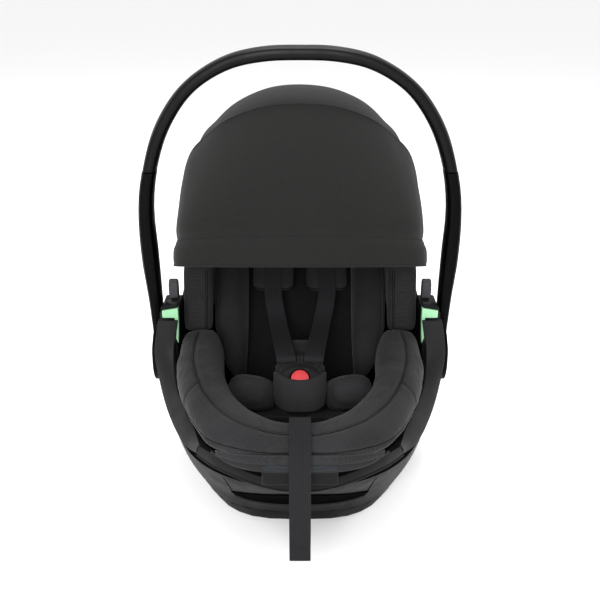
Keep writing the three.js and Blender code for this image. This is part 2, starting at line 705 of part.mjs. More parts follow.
/** The padded sleeve on the shoulder strap, with the slot that the strap runs through. */
function shoulderPad() {
  const sleeve = bar(5, 12, 3.6, (u, across, deep) => (
    onBack(STRAP_HEAD.x + across * 27, lerp(SLEEVE.from, SLEEVE.to, u), STRAP_HEAD.lift + deep * 6.5)
  ));
  const slot = slab(1, 1, 1, (u, v, w) => (
    onBack(
      STRAP_HEAD.x + lerp(-15.5, 15.5, v),
      lerp(SLEEVE.from - 20, SLEEVE.to - 3, u),
      STRAP_HEAD.lift + lerp(-3, 3, w),
    )
  ));
  return cut(sleeve, slot);
}

/** The slot plate at the rim from which the adjuster strap comes. */
function adjusterPlate() {
  const frame = cushion(46, 26, 10, 2.5);
  const slot = box([-TAIL.width / 2 - 2, TAIL.width / 2 + 2], [-10, -5], [-8, 8]);
  const well = box([-13.4, 13.4], [0.6, 11.4], [-3.6, 8]);
  return onSlope(cut(frame, slot, well));
}

/** Lays a small part on the front slope of the seat, by the place where the strap comes out. */
function onSlope(geometry) {
  return closed(geometry.rotateX(degToRad(-24)).translate(0, -260.5, 194));
}

/** The button that lets the harness out. */
function adjusterButton() {
  return onSlope(cushion(26, 10, 7, 2).translate(0, 6, 2.6));
}

/** The free end of the harness webbing: over the rim and straight down in front of the seat. */
const TAIL_ROUTE = [[-267, 204.5], [-278, 219], [-293, 228.5], [-308, 231], [-324, 227.5], [-336, 218],
  [-341, 202], [-342, 180], [-342, 140], [-342, TAIL.end]];

function adjusterStrap() {
  const points = TAIL_ROUTE.map(([y, z]) => new THREE.Vector3(0, y, z));
  const route = new THREE.CatmullRomCurve3(points);
  return slab(22, 1, 1, (u, v, w) => {
    const point = route.getPoint(u);
    const along = route.getTangent(u);
    const up = new THREE.Vector3(0, along.z, -along.y);
    point.addScaledVector(up, lerp(-TAIL.thick / 2, TAIL.thick / 2, w));
    return [lerp(-TAIL.width / 2, TAIL.width / 2, v), point.y, point.z];
  });
}

// ---- assembly --------------------------------------------------------------------------------------
const group = new THREE.Group();

function add(name, geometry, material) {
  const mesh = new THREE.Mesh(geometry, material());
  mesh.name = name;
  group.add(mesh);
}

add('outer_shell', outerShell(), SHELL_PLASTIC);
add('base_tray', baseTray(), SHELL_PLASTIC);
add('latch_bar_front', latchBar(LATCH_BAR_ROWS[0]), STEEL);
add('latch_bar_rear', latchBar(LATCH_BAR_ROWS[1]), STEEL);
add('front_trim', frontTrim(), SHELL_PLASTIC);
add('rear_belt_guide', rearBeltGuide(), GUIDE_PLASTIC);
add('rear_lever', rearLever(), GREY_PLASTIC);
add('handle_top', handleTop(), HANDLE_PLASTIC);
add('canopy_rear', canopyRear(), CANOPY_FABRIC);
add('canopy_front', canopyFront(), CANOPY_FABRIC);
add('canopy_brim', canopyBrim(), CANOPY_FABRIC);
add('inner_tub', innerTub(), TUB_PLASTIC);
add('tub_front_rim', tubFrontRim(), TUB_PLASTIC);
add('recline_bar', reclineBar(), BAR_PLASTIC);
add('recline_latch', reclineLatch(), SHELL_PLASTIC);
add('rim_pad', rimPad(), SEAT_FABRIC);
add('head_surround', headSurround(), SEAT_FABRIC);
add('back_pad', backPad(), SEAT_FABRIC);
add('seat_pad', seatPad(), SEAT_FABRIC);
add('head_shell', headShell(), TUB_PLASTIC);
add('head_pad', headPad(), SEAT_FABRIC);
add('head_pull', headPull(), GREY_PLASTIC);
add('crotch_pad', crotchPad(), SEAT_FABRIC);
add('crotch_pocket', crotchPocket(), SEAT_FABRIC);
add('crotch_strap', crotchStrap(), WEBBING);
add('buckle_housing', buckleHousing(), TUB_PLASTIC);
add('buckle_button', buckleButton(), BUTTON_PLASTIC);
add('adjuster_plate', adjusterPlate(), TUB_PLASTIC);
add('adjuster_button', adjusterButton(), GREY_PLASTIC);
add('adjuster_strap', adjusterStrap(), WEBBING);

const PAIRS = [
  ['side_trim', sideTrim, SHELL_PLASTIC],
  ['hub_housing', hubHousing, SHELL_PLASTIC],
  ['hub_bolt', hubBolt, HANDLE_PLASTIC],
  ['release_tab', releaseTab, GREY_PLASTIC],
  ['belt_guide', beltGuide, GUIDE_PLASTIC],
  ['handle_leg', handleLeg, HANDLE_PLASTIC],
  ['canopy_arm', canopyArm, SHELL_PLASTIC],
  ['canopy_pin', canopyPin, SHELL_PLASTIC],
  ['liner_wing', linerWing, SEAT_FABRIC],
  ['thigh_cushion', thighCushion, SEAT_FABRIC],
  ['tongue', tongue, TUB_PLASTIC],
  ['harness_strap', harnessStrap, WEBBING],
  ['shoulder_pad', shoulderPad, SEAT_FABRIC],
];
for (const [name, make, material] of PAIRS) {
  for (const [side, sign] of SIDES) add(`${name}_${side}`, onSide(make(), sign), material);
}

export default group;
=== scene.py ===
"""The looks of an infant car seat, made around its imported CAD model.

Metres, +Z up. The foot end points along -Y, and +X is the right-hand side seen from there.
"""

import json
import math

import bmesh
import bpy
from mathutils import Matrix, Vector, kdtree, noise
from mathutils.bvhtree import BVHTree


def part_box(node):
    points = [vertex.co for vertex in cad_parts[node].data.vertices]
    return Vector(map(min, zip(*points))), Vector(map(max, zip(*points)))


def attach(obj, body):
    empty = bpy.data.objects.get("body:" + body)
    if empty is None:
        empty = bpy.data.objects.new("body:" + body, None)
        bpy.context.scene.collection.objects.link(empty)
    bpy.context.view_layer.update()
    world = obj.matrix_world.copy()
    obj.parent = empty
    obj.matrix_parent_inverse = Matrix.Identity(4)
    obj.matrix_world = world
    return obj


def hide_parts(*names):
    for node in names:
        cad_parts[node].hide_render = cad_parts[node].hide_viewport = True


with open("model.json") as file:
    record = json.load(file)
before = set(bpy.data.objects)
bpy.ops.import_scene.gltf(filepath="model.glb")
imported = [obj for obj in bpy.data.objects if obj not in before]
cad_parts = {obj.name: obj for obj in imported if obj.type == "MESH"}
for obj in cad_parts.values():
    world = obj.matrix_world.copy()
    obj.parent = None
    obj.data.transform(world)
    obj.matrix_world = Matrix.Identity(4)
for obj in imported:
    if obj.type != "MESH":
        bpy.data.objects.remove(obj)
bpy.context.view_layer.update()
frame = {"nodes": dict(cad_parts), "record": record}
record = frame["record"]
BODY = {node: body for body, nodes in record["behaviour"]["bodies"].items() for node in nodes}
SLOT = {row["node"]: row["material_slot"] for row in record["subparts"]}
COLOUR = {row["slot"]: row["base_color"] for row in record["materials"]}
MM = 0.001
SIDES = (("right", 1), ("left", -1))
UP, INWARD = Vector((0, 0, 1)), Vector((0, 1, 0))


# ---- camera, floor and light ----
def link(name, data):
    made = bpy.data.objects.new(name, data)
    bpy.context.scene.collection.objects.link(made)
    return made


def make_camera():
    data = bpy.data.cameras.new("camera")
    data.lens = 50
    data.sensor_width = 36
    camera = link("camera", data)
    camera.location = (0, -1.08916, 0.71839)
    camera.rotation_euler = (math.radians(66.5), 0, 0)
    bpy.context.scene.camera = camera


def softbox(name, place, target, size, power):
    data = bpy.data.lights.new(name, "AREA")
    data.shape = "DISK"
    data.size = size
    data.energy = power
    lamp = link(name, data)
    lamp.location = place
    lamp.rotation_euler = (Vector(target) - Vector(place)).to_track_quat("-Z", "Y").to_euler()


def make_studio():
    middle = (0, 0, 0.3)
    softbox("key_above", (0.1, 0.75, 2.3), middle, 1.5, 36)
    softbox("fill_front", (-0.25, -2.3, 1.15), (0, -0.1, 0.25), 1.2, 62)
    softbox("rim_left", (-2.0, 0.5, 1.0), middle, 0.9, 12)
    softbox("rim_right", (2.0, 0.5, 1.0), middle, 0.9, 12)
    world = bpy.data.worlds.new("studio")
    world.use_nodes = True
    background = world.node_tree.nodes["Background"]
    background.inputs["Color"].default_value = (1, 1, 1, 1)
    background.inputs["Strength"].default_value = 0.95
    bpy.context.scene.world = world
    bpy.context.scene.view_settings.view_transform = "Standard"
    floor = bpy.data.meshes.new("floor")
    reach = 30
    corners = [(-reach, -reach, 0), (reach, -reach, 0), (reach, reach, 0), (-reach, reach, 0)]
    floor.from_pydata(corners, [], [(0, 1, 2, 3)])
    ground = link("floor", floor)
    ground.location.z = -0.0005
    ground.data.materials.append(plain_matte("floor_paint", (0.97, 0.97, 0.97)))


# ---- material building blocks ----
def new_material(name, roughness, metallic=0.0, sheen=0.0, coat=0.0, specular=0.5):
    material = bpy.data.materials.new(name)
    material.use_nodes = True
    shader = material.node_tree.nodes["Principled BSDF"]
    shader.inputs["Roughness"].default_value = roughness
    shader.inputs["Metallic"].default_value = metallic
    shader.inputs["Sheen Weight"].default_value = sheen
    shader.inputs["Sheen Roughness"].default_value = 0.45
    shader.inputs["Coat Weight"].default_value = coat
    shader.inputs["Coat Roughness"].default_value = 0.25
    shader.inputs["Specular IOR Level"].default_value = specular
    return material, material.node_tree, shader


def plain_matte(name, colour):
    material, _, shader = new_material(name, 0.9)
    shader.inputs["Base Color"].default_value = (*colour, 1)
    return material


def add_node(tree, kind, settings=None, **inputs):
    """A shader node with its settings and its inputs, where an input may be another node's output."""
    made = tree.nodes.new(kind)
    for key, value in (settings or {}).items():
        setattr(made, key, value)
    for key, value in inputs.items():
        socket = made.inputs[int(key[1:]) if key[0] == "i" and key[1:].isdigit() else key.replace("_", " ")]
        if isinstance(value, bpy.types.NodeSocket):
            tree.links.new(value, socket)
        else:
            socket.default_value = value
    return made


def place(tree):
    return add_node(tree, "ShaderNodeTexCoord").outputs["Object"]


def noise_node(tree, scale, detail=3.0):
    noisy = add_node(tree, "ShaderNodeTexNoise", Vector=place(tree), Scale=scale, Detail=detail)
    return noisy.outputs["Fac"]


def ranged(tree, value, low, high, to_low, to_high):
    made = add_node(tree, "ShaderNodeMapRange", Value=value, From_Min=low, From_Max=high)
    made.inputs["To Min"].default_value = to_low
    made.inputs["To Max"].default_value = to_high
    return made.outputs["Result"]


def math_node(tree, operation, a, b=0.0):
    return add_node(tree, "ShaderNodeMath", {"operation": operation}, i0=a, i1=b).outputs["Value"]


def mixed(tree, share, a, b):
    """Colour a where share is 0 and colour b where it is 1; each may be three numbers or an output."""
    made = tree.nodes.new("ShaderNodeMix")
    made.data_type = "RGBA"
    for socket, value in ((made.inputs[0], share), (made.inputs[6], a), (made.inputs[7], b)):
        if isinstance(value, bpy.types.NodeSocket):
            tree.links.new(value, socket)
        elif isinstance(value, (int, float)):
            socket.default_value = value
        else:
            socket.default_value = (*value, 1)
    return made.outputs[2]


def shade(colour, amount):
    return tuple(min(channel * amount, 1) for channel in colour)


def bumped(tree, shader, *layers):
    """Chains bump nodes: each layer is (height output, strength, distance)."""
    normal = None
    for height, strength, distance in layers:
        made = add_node(tree, "ShaderNodeBump", Height=height, Strength=strength, Distance=distance)
        if normal is not None:
            tree.links.new(normal, made.inputs["Normal"])
        normal = made.outputs["Normal"]
    tree.links.new(normal, shader.inputs["Normal"])


def waves(tree, vector_part, pitch):
    """A smooth 0..1 wave along one coordinate with that pitch."""
    turned = math_node(tree, "MULTIPLY", vector_part, 2 * math.pi / pitch)
    return ranged(tree, math_node(tree, "SINE", turned), -1, 1, 0, 1)


# ---- materials ----
def moulded_plastic(name, colour, roughness, grain=0.16, coat=0.0, wear=0.6, specular=0.2):
    """Moulded plastic: fine spark-eroded grain, uneven gloss and edges rubbed a little lighter."""
    material, tree, shader = new_material(name, roughness, coat=coat, specular=specular)
    shader.inputs["IOR"].default_value = 1.3
    mottle = ranged(tree, noise_node(tree, 14), 0.35, 0.65, 0, 1)
    body = mixed(tree, mottle, shade(colour, 0.86), shade(colour, 1.16))
    pointed = add_node(tree, "ShaderNodeNewGeometry").outputs["Pointiness"]
    rubbed = ranged(tree, pointed, 0.53, 0.6, 0, wear)
    patchy = math_node(tree, "MULTIPLY", rubbed, ranged(tree, noise_node(tree, 90), 0.35, 0.6, 0.2, 1))
    worn = mixed(tree, patchy, body, shade(colour, 2.1))
    tree.links.new(worn, shader.inputs["Base Color"])
    gloss = ranged(tree, noise_node(tree, 38), 0.3, 0.7, roughness - 0.06, roughness + 0.07)
    tree.links.new(gloss, shader.inputs["Roughness"])
    speckle = noise_node(tree, 1500, 2)
    pores = add_node(tree, "ShaderNodeTexVoronoi", Vector=place(tree), Scale=850).outputs["Distance"]
    bumped(tree, shader, (pores, grain, 0.15 * MM), (speckle, grain, 0.2 * MM))
    return material


def plain_weave(name, colour, pitch, sheen, contrast=0.3):
    """A plain-woven cloth: warp across the seat and weft along it, slubby and softly mottled."""
    material, tree, shader = new_material(name, 0.88, sheen=sheen, specular=0.08)
    split = add_node(tree, "ShaderNodeSeparateXYZ", Vector=place(tree)).outputs
    along = math_node(tree, "ADD", split["Y"], math_node(tree, "MULTIPLY", split["Z"], 1.3))
    warp = waves(tree, split["X"], pitch)
    weft = waves(tree, along, pitch * 1.4)
    cross = math_node(tree, "MULTIPLY", warp, weft)
    slub = ranged(tree, noise_node(tree, 420, 4), 0.3, 0.7, 0.55, 1)
    threads = math_node(tree, "MULTIPLY", ranged(tree, cross, 0, 1, 1 - contrast, 1), slub)
    woven = mixed(tree, threads, shade(colour, 0.55), shade(colour, 1.35))
    mottle = ranged(tree, noise_node(tree, 9), 0.35, 0.65, 0, 0.35)
    tree.links.new(mixed(tree, mottle, woven, shade(colour, 1.25)), shader.inputs["Base Color"])
    bumped(tree, shader, (cross, 0.5, 0.35 * MM), (slub, 0.35, 0.3 * MM))
    return material


def knit(name, colour, cell, sheen, lift=1.0):
    """A close knitted cover: a lattice of small loops with soft fibres between them."""
    material, tree, shader = new_material(name, 0.9, sheen=sheen, specular=0.08)
    loops = add_node(tree, "ShaderNodeTexVoronoi", Vector=place(tree), Scale=1 / cell, Randomness=0.35)
    loop = ranged(tree, loops.outputs["Distance"], 0.1, 0.75, 1, 0)
    fibre = ranged(tree, noise_node(tree, 900, 4), 0.3, 0.7, 0, 1)
    tone = math_node(tree, "MULTIPLY", loop, ranged(tree, fibre, 0, 1, 0.7, 1))
    yarn = mixed(tree, tone, shade(colour, 0.6), shade(colour, 1.4))
    rubbed = ranged(tree, noise_node(tree, 16, 5), 0.42, 0.62, 0, 0.4)
    tree.links.new(mixed(tree, rubbed, yarn, shade(colour, 1.45)), shader.inputs["Base Color"])
    folds = noise_node(tree, 55, 2)
    bumped(tree, shader, (folds, 0.18, 2 * MM), (loop, 0.5 * lift, 0.35 * MM), (fibre, 0.25, 0.15 * MM))
    return material


def webbing(name, colour):
    """Harness webbing: lengthwise ribs with a fine herringbone across them."""
    material, tree, shader = new_material(name, 0.7, sheen=0.02, specular=0.05)
    split = add_node(tree, "ShaderNodeSeparateXYZ", Vector=place(tree)).outputs
    along = math_node(tree, "ADD", split["Y"], split["Z"])
    zigzag = math_node(tree, "PINGPONG", split["X"], 2.2 * MM)
    twill = waves(tree, math_node(tree, "ADD", along, zigzag), 1.3 * MM)
    ribs = waves(tree, split["X"], 2.2 * MM)
    fibre = ranged(tree, noise_node(tree, 700, 3), 0.3, 0.7, 0.7, 1)
    raised = ranged(tree, math_node(tree, "ADD", twill, ribs), 0, 2, 0.3, 1)
    tone = math_node(tree, "MULTIPLY", raised, fibre)
    tree.links.new(mixed(tree, tone, shade(colour, 0.5), shade(colour, 1.7)), shader.inputs["Base Color"])
    bumped(tree, shader, (ribs, 0.5, 0.4 * MM), (twill, 0.45, 0.25 * MM), (fibre, 0.2, 0.1 * MM))
    return material


def brushed_steel(name, colour):
    """A drawn steel bar with fine lines along it."""
    material, tree, shader = new_material(name, 0.32, metallic=1.0)
    stretched = add_node(tree, "ShaderNodeMapping", Vector=place(tree))
    stretched.inputs["Scale"].default_value = (12, 900, 900)
    lines = add_node(tree, "ShaderNodeTexNoise", Vector=stretched.outputs["Vector"], Scale=1.0, Detail=3.0)
    streak = lines.outputs["Fac"]
    tree.links.new(mixed(tree, streak, shade(colour, 0.75), shade(colour, 1.3)), shader.inputs["Base Color"])
    tree.links.new(ranged(tree, streak, 0.3, 0.7, 0.24, 0.42), shader.inputs["Roughness"])
    bumped(tree, shader, (streak, 0.2, 0.1 * MM))
    return material


# The record's colours are those of the bare materials; most look deeper once they are woven or grained.
DEPTH = {
    "shell_plastic": 0.45, "handle_plastic": 0.3, "tub_plastic": 0.5, "grey_plastic": 0.55,
    "bar_plastic": 0.38,
    "canopy_fabric": 0.33, "seat_fabric": 1.05, "webbing": 1.3, "button_plastic": 0.82,
}
DEEP = {slot: shade(COLOUR[slot], share) for slot, share in DEPTH.items()}
MATERIAL = {
    "shell_plastic": moulded_plastic("shell_plastic_look", DEEP["shell_plastic"], 0.5),
    "handle_plastic": moulded_plastic("handle_plastic_look", DEEP["handle_plastic"], 0.4, grain=0.1),
    "tub_plastic": moulded_plastic("tub_plastic_look", DEEP["tub_plastic"], 0.54, grain=0.2),
    "grey_plastic": moulded_plastic("grey_plastic_look", DEEP["grey_plastic"], 0.5),
    "bar_plastic": moulded_plastic("bar_plastic_look", DEEP["bar_plastic"], 0.46),
    "guide_plastic": moulded_plastic("guide_plastic_look", COLOUR["guide_plastic"], 0.42, wear=0.3),
    "button_plastic": moulded_plastic("button_plastic_look", DEEP["button_plastic"], 0.34, 0.05, 0.3, 0.3),
    "canopy_fabric": plain_weave("canopy_fabric_look", DEEP["canopy_fabric"], 1.3 * MM, 0.05),
    "seat_fabric": knit("seat_fabric_look", DEEP["seat_fabric"], 1.5 * MM, 0.06),
    "webbing": webbing("webbing_look", DEEP["webbing"]),
    "steel": brushed_steel("steel_look", COLOUR["steel"]),
}
THREAD = knit("thread_look", shade(DEEP["seat_fabric"], 0.7), 0.5 * MM, 0.02)
# Near-black cloth for the lines in and along seams: painted shade in their creases.
CREASE_SHADE = knit("crease_painted_shade_look", shade(DEEP["seat_fabric"], 0.2), 0.8 * MM, 0.0)
PIPING = knit("piping_look", shade(DEEP["seat_fabric"], 1.15), 0.8 * MM, 0.1)
# Near-black plastic: painted shade over the shell's undercut, inside the tub and along the buckle's steps
# and button, and the dark panel joint lines.
DARK_JOINT_AND_SHADE = moulded_plastic("dark_joint_and_painted_shade_look", shade(DEEP["shell_plastic"], 0.15), 0.8, specular=0.01)
# A darker copy of the handle plastic for the handle legs: painted shade.
HANDLE_LEG_SHADE = moulded_plastic("handle_leg_painted_shade_look", shade(DEEP["handle_plastic"], 0.35), 0.5, 0.1, specular=0.1)
# A darker copy of the shell plastic for the base tray: painted shade low down.
BASE_SHADE = moulded_plastic("base_painted_shade_look", shade(DEEP["shell_plastic"], 0.3), 0.55)
# A lighter copy of the shell plastic for the side arms: painted light.
SIDE_ARM_LIGHT = moulded_plastic("side_arm_painted_light_look", shade(DEEP["shell_plastic"], 2.0), 0.5)
# The same cloth, a lighter copy where it stands proud of the seat as painted light and a darker copy where
# it lies deep inside it as painted shade.
RAISED_LIT_CLOTH = knit("raised_cloth_painted_light_look", shade(DEEP["seat_fabric"], 1.5), 1.5 * MM, 0.06)
SUNKEN_SHADED_CLOTH = knit("sunken_cloth_painted_shade_look", shade(DEEP["seat_fabric"], 0.4), 1.5 * MM, 0.04)
# A darker copy of the webbing for the hanging tail: painted shade.
TAIL_WEBBING_SHADE = webbing("tail_webbing_painted_shade_look", shade(DEEP["webbing"], 0.7))


# ---- mesh helpers ----
def lerp(a, b, t):
    return a + (b - a) * t


def smoothstep(value, low, high):
    t = min(max((value - low) / (high - low), 0), 1)
    return t * t * (3 - 2 * t)


def stations(*pairs):
    """A size that changes evenly between a few (position, size) pairs."""
    def size(at):
        for (start, low), (end, high) in zip(pairs, pairs[1:]):
            if at <= end:
                return lerp(low, high, min(max((at - start) / (end - start), 0), 1))
        return pairs[-1][1]
    return size


def spline(points, t):
    """The point at 0..1 of a smooth curve through all the points."""
    last = len(points) - 1
    position = min(max(t, 0), 1) * last
    index = min(int(position), last - 1)
    w = position - index
    before, start, end, after = (
        Vector(points[min(max(index + step, 0), last)]) for step in (-1, 0, 1, 2)
    )
    leave, arrive = (end - before) / 2, (after - start) / 2
    cubic = (2 * start - 2 * end + leave + arrive) * w ** 3
    square = (-3 * start + 3 * end - 2 * leave - arrive) * w ** 2
    return cubic + square + leave * w + start


def even_points(points, spacing):
    """Points evenly spaced along the smooth curve through a few points."""
    fine = [spline(points, step / 400) for step in range(401)]
    lengths = [0.0]
    for a, b in zip(fine, fine[1:]):
        lengths.append(lengths[-1] + (b - a).length)
    count = max(int(round(lengths[-1] / spacing)), 2)
    made, at = [], 0
    for step in range(count + 1):
        wanted = lengths[-1] * step / count
        while at < len(fine) - 2 and lengths[at + 1] < wanted:
            at += 1
        span = lengths[at + 1] - lengths[at]
        made.append(fine[at].lerp(fine[at + 1], (wanted - lengths[at]) / span if span else 0))
    return made


def mesh_object(name, vertices, faces, material, smooth=True):
    mesh = bpy.data.meshes.new(name)
    mesh.from_pydata([tuple(v) for v in vertices], [], faces)
    mesh.update()
    made = link(name, mesh)
    made.data.materials.append(material)
    mesh.polygons.foreach_set("use_smooth", [smooth] * len(mesh.polygons))
    return made


def grid_object(name, rows, columns, point, material):
    """A sheet of quads: point(u, v) gives each corner, u and v from 0 to 1."""
    wide = columns + 1
    vertices = [point(row / rows, column / columns) for row in range(rows + 1) for column in range(wide)]
    corners = [row * wide + column for row in range(rows) for column in range(columns)]
    faces = [(corner, corner + 1, corner + wide + 1, corner + wide) for corner in corners]
    return mesh_object(name, vertices, faces, material)


def loft(name, sections, material):
    """A closed body through rings of the same number of points, with its two ends filled."""
    around = len(sections[0])
    vertices = [point for section in sections for point in section]
    faces = []
    for ring in range(len(sections) - 1):
        for step in range(around):
            nxt = (step + 1) % around
            low, high = ring * around, (ring + 1) * around
            faces.append((low + step, low + nxt, high + nxt, high + step))
    faces.append(tuple(range(around))[::-1])
    faces.append(tuple(range(len(vertices) - around, len(vertices))))
    made = mesh_object(name, vertices, faces, material)
    turn_outward(made)
    return made


def turn_outward(made):
    work = bmesh.new()
    work.from_mesh(made.data)
    bmesh.ops.recalc_face_normals(work, faces=work.faces)
    work.to_mesh(made.data)
    work.free()


def frames_along(points, side=Vector((1, 0, 0))):
    """(point, sideways, up) along a run of points, with sideways kept near one direction."""
    found = []
    for index, point in enumerate(points):
        before, after = points[max(index - 1, 0)], points[min(index + 1, len(points) - 1)]
        along = (after - before).normalized()
        across = (side - along * side.dot(along)).normalized()
        found.append((point, across, across.cross(along)))
    return found


def tube(name, points, radius, material, sides=8, side=Vector((0.31, 0.2, 0.93))):
    sections = []
    for point, across, up in frames_along(points, side):
        turns = [2 * math.pi * step / sides for step in range(sides)]
        sections.append([point + radius * (across * math.cos(a) + up * math.sin(a)) for a in turns])
    return loft(name, sections, material)


def modify(made, kind, **settings):
    modifier = made.modifiers.new(kind.lower(), kind)
    for key, value in settings.items():
        setattr(modifier, key, value)
    return modifier


def bake(made):
    """Applies all modifiers to the mesh."""
    graph = bpy.context.evaluated_depsgraph_get()
    mesh = bpy.data.meshes.new_from_object(made.evaluated_get(graph))
    made.modifiers.clear()
    made.data = mesh
    mesh.polygons.foreach_set("use_smooth", [True] * len(mesh.polygons))
    return made


def bevelled(made, width, segments, angle):
    """Rounds the edges that are sharper than an angle in degrees."""
    modify(made, "BEVEL", width=width, segments=segments, limit_method="ANGLE",
           angle_limit=math.radians(angle))


def thickened(made, thick):
    """Gives a sheet its thickness, half on each side."""
    modify(made, "SOLIDIFY", thickness=thick, offset=0)
    bake(made)
    turn_outward(made)


def softened(made):
    """Divides the faces of a padded piece once, so that they round off."""
    modify(made, "SUBSURF", levels=1, render_levels=1)
    bake(made)


def on_side(points, sign):
    """The same points on the right-hand side (1) or mirrored to the left-hand one (-1)."""
    return [Vector((p.x * sign, p.y, p.z)) for p in points]


def fasten(made, *nodes, body=None, slot=None):
    """Makes a piece stand for CAD nodes and ride on their body."""
    if nodes:
        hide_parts(*nodes)
    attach(made, body or BODY[nodes[0]])
    slot or SLOT[nodes[0]]
    return made


def cad_copy(name, node, material):
    """A welded copy of a CAD node's mesh, in quads where its triangles pair up."""
    work = bmesh.new()
    work.from_mesh(frame["nodes"][node].data)
    bmesh.ops.remove_doubles(work, verts=work.verts, dist=0.02 * MM)
    bmesh.ops.join_triangles(
        work, faces=work.faces, angle_face_threshold=math.radians(40), angle_shape_threshold=math.radians(60)
    )
    mesh = bpy.data.meshes.new(name)
    work.to_mesh(mesh)
    work.free()
    mesh.materials.clear()
    mesh.materials.append(material)
    mesh.polygons.foreach_set("use_smooth", [True] * len(mesh.polygons))
    return link(name, mesh)


# ---- the cord: the free end of the harness webbing ----
# The route's (y, z) points, as the CAD model has them.
TAIL_ROUTE = [
    (-267, 204.5), (-278, 219), (-293, 228.5), (-308, 231), (-324, 227.5), (-336, 218),
    (-341, 202), (-342, 180), (-342, 140), (-342, 72),
]
TAIL_WIDTH, TAIL_THICK = 24 * MM, 2 * MM
STRAP_WIDTH = 26 * MM


def webbing_section(width, thick, ribs=9, around=6):
    """Half-outline points (across, lift) of flat webbing with a rounded edge and low ribs."""
    steps = ribs * 4
    top = []
    for step in range(steps + 1):
        across = lerp(-1, 1, step / steps)
        rib = 0.12 * math.cos(across * math.pi * ribs)
        edge = 1 - abs(across) ** 14
        top.append((across * width / 2, thick / 2 * (0.55 + 0.3 * edge + rib * edge)))
    return top + [(across, -lift) for across, lift in reversed(top)]


def ribbon(name, points, width, thick, material):
    """Flat webbing along a run of points."""
    section = webbing_section(width, thick)
    rings = [
        [point + across * a + up * b for a, b in section]
        for point, across, up in frames_along(points)
    ]
    return loft(name, rings, material)


def make_tail():
    route = [Vector((0, y * MM, z * MM)) for y, z in TAIL_ROUTE]
    points = even_points(route, 3 * MM)
    tail = ribbon("adjuster_webbing", points, TAIL_WIDTH, TAIL_THICK, TAIL_WEBBING_SHADE)
    fasten(tail, "adjuster_strap")
    hem_foot = points[-1]
    for index, height in enumerate((4, 16, 20)):
        spots = [hem_foot + Vector((x * MM, -TAIL_THICK * 0.46, height * MM)) for x in range(-9, 10, 3)]
        row = dashes(f"tail_stitches_{index + 1}", spots, -INWARD, 2.1 * MM)
        fasten(row, body="tub", slot="webbing")


# ---- sewing ----
def dashes(name, spots, normals, length, radius=0.42 * MM, material=None):
    """A row of stitches: one small bead for each spot, laid along the row."""
    sides, rings = 6, ((-0.5, 0.25), (-0.3, 0.9), (0.3, 0.9), (0.5, 0.25))
    vertices, faces = [], []
    for index, spot in enumerate(spots):
        before, after = spots[max(index - 1, 0)], spots[min(index + 1, len(spots) - 1)]
        along = (after - before).normalized()
        normal = normals if isinstance(normals, Vector) else normals[index]
        across = along.cross(normal).normalized()
        start = len(vertices)
        for offset, share in rings:
            for step in range(sides):
                turn = 2 * math.pi * step / sides
                out = across * math.cos(turn) + normal * math.sin(turn)
                vertices.append(spot + along * (offset * length) + out * (radius * share))
        for ring in range(len(rings) - 1):
            for step in range(sides):
                nxt = (step + 1) % sides
                low, high = start + ring * sides, start + (ring + 1) * sides
                faces.append((low + step, low + nxt, high + nxt, high + step))
        faces.append(tuple(start + step for step in range(sides))[::-1])
        faces.append(tuple(start + (len(rings) - 1) * sides + step for step in range(sides)))
    made = mesh_object(name, vertices, faces, material or THREAD)
    turn_outward(made)
    return made


def surface(made):
    return BVHTree.FromObject(made, bpy.context.evaluated_depsgraph_get())


def laid(tree, points, spacing, lift=0.0):
    """A run of points drawn on a surface: evenly spaced places on it and the normals there."""
    places, normals = [], []
    for point in even_points(points, spacing):
        spot, normal, _, _ = tree.find_nearest(point)
        places.append(spot + normal * lift)
        normals.append(normal)
    return places, normals


def groove(made, places, width, depth):
    """Draws the cover in along a seam."""
    tree = kdtree.KDTree(len(places))
    for index, spot in enumerate(places):
        tree.insert(spot, index)
    tree.balance()
    normals = [vertex.normal.copy() for vertex in made.data.vertices]
    for vertex, normal in zip(made.data.vertices, normals):
        _, _, distance = tree.find(vertex.co)
        if distance < 3 * width:
            vertex.co -= normal * depth * math.exp(-(distance / width) ** 2)
    made.data.update()


def smoothed(points, rounds):
    """The same run of points with its small kinks taken out."""
    for _ in range(rounds):
        points = [points[0]] + [
            (a + 2 * b + c) / 4 for a, b, c in zip(points, points[1:], points[2:])
        ] + [points[-1]]
    return points


def seam(made, name, points, body, width=2.6 * MM, depth=1.6 * MM, rows=(0,)):
    """A sewn seam: a groove in the cover, a near-black tube in it as painted shade in the crease, and rows
    of stitches beside it.
    """
    tree = surface(made)
    places, normals = laid(tree, points, 1.5 * MM)
    places, normals = smoothed(places, 6), smoothed(normals, 6)
    groove(made, places, width, depth)
    sunk = [place - normal * (depth - 0.2 * MM) for place, normal in zip(places[::2], normals[::2])]
    fasten(tube(f"{name}_crease", sunk, 0.5 * MM, CREASE_SHADE), body=body, slot="seat_fabric")
    for number, offset in enumerate(rows):
        shifted, lifted = [], []
        dip = depth * math.exp(-(offset / width) ** 2) - 0.25 * MM
        for index in range(1, len(places) - 1, 2):
            normal = normals[index]
            across = (places[index + 1] - places[index - 1]).normalized().cross(normal)
            shifted.append(places[index] + across * offset - normal * dip)
            lifted.append(normal)
        row = dashes(f"{name}_stitches_{number + 1}", shifted, lifted, 2.1 * MM, 0.36 * MM)
        fasten(row, body=body, slot="seat_fabric")


def piping(made, name, points, body, radius, lift):
    """A covered cord sewn into a seam."""
    places, _ = laid(surface(made), points, 2.5 * MM, lift)
    fasten(tube(name, smoothed(places, 1), radius, PIPING), body=body, slot="seat_fabric")


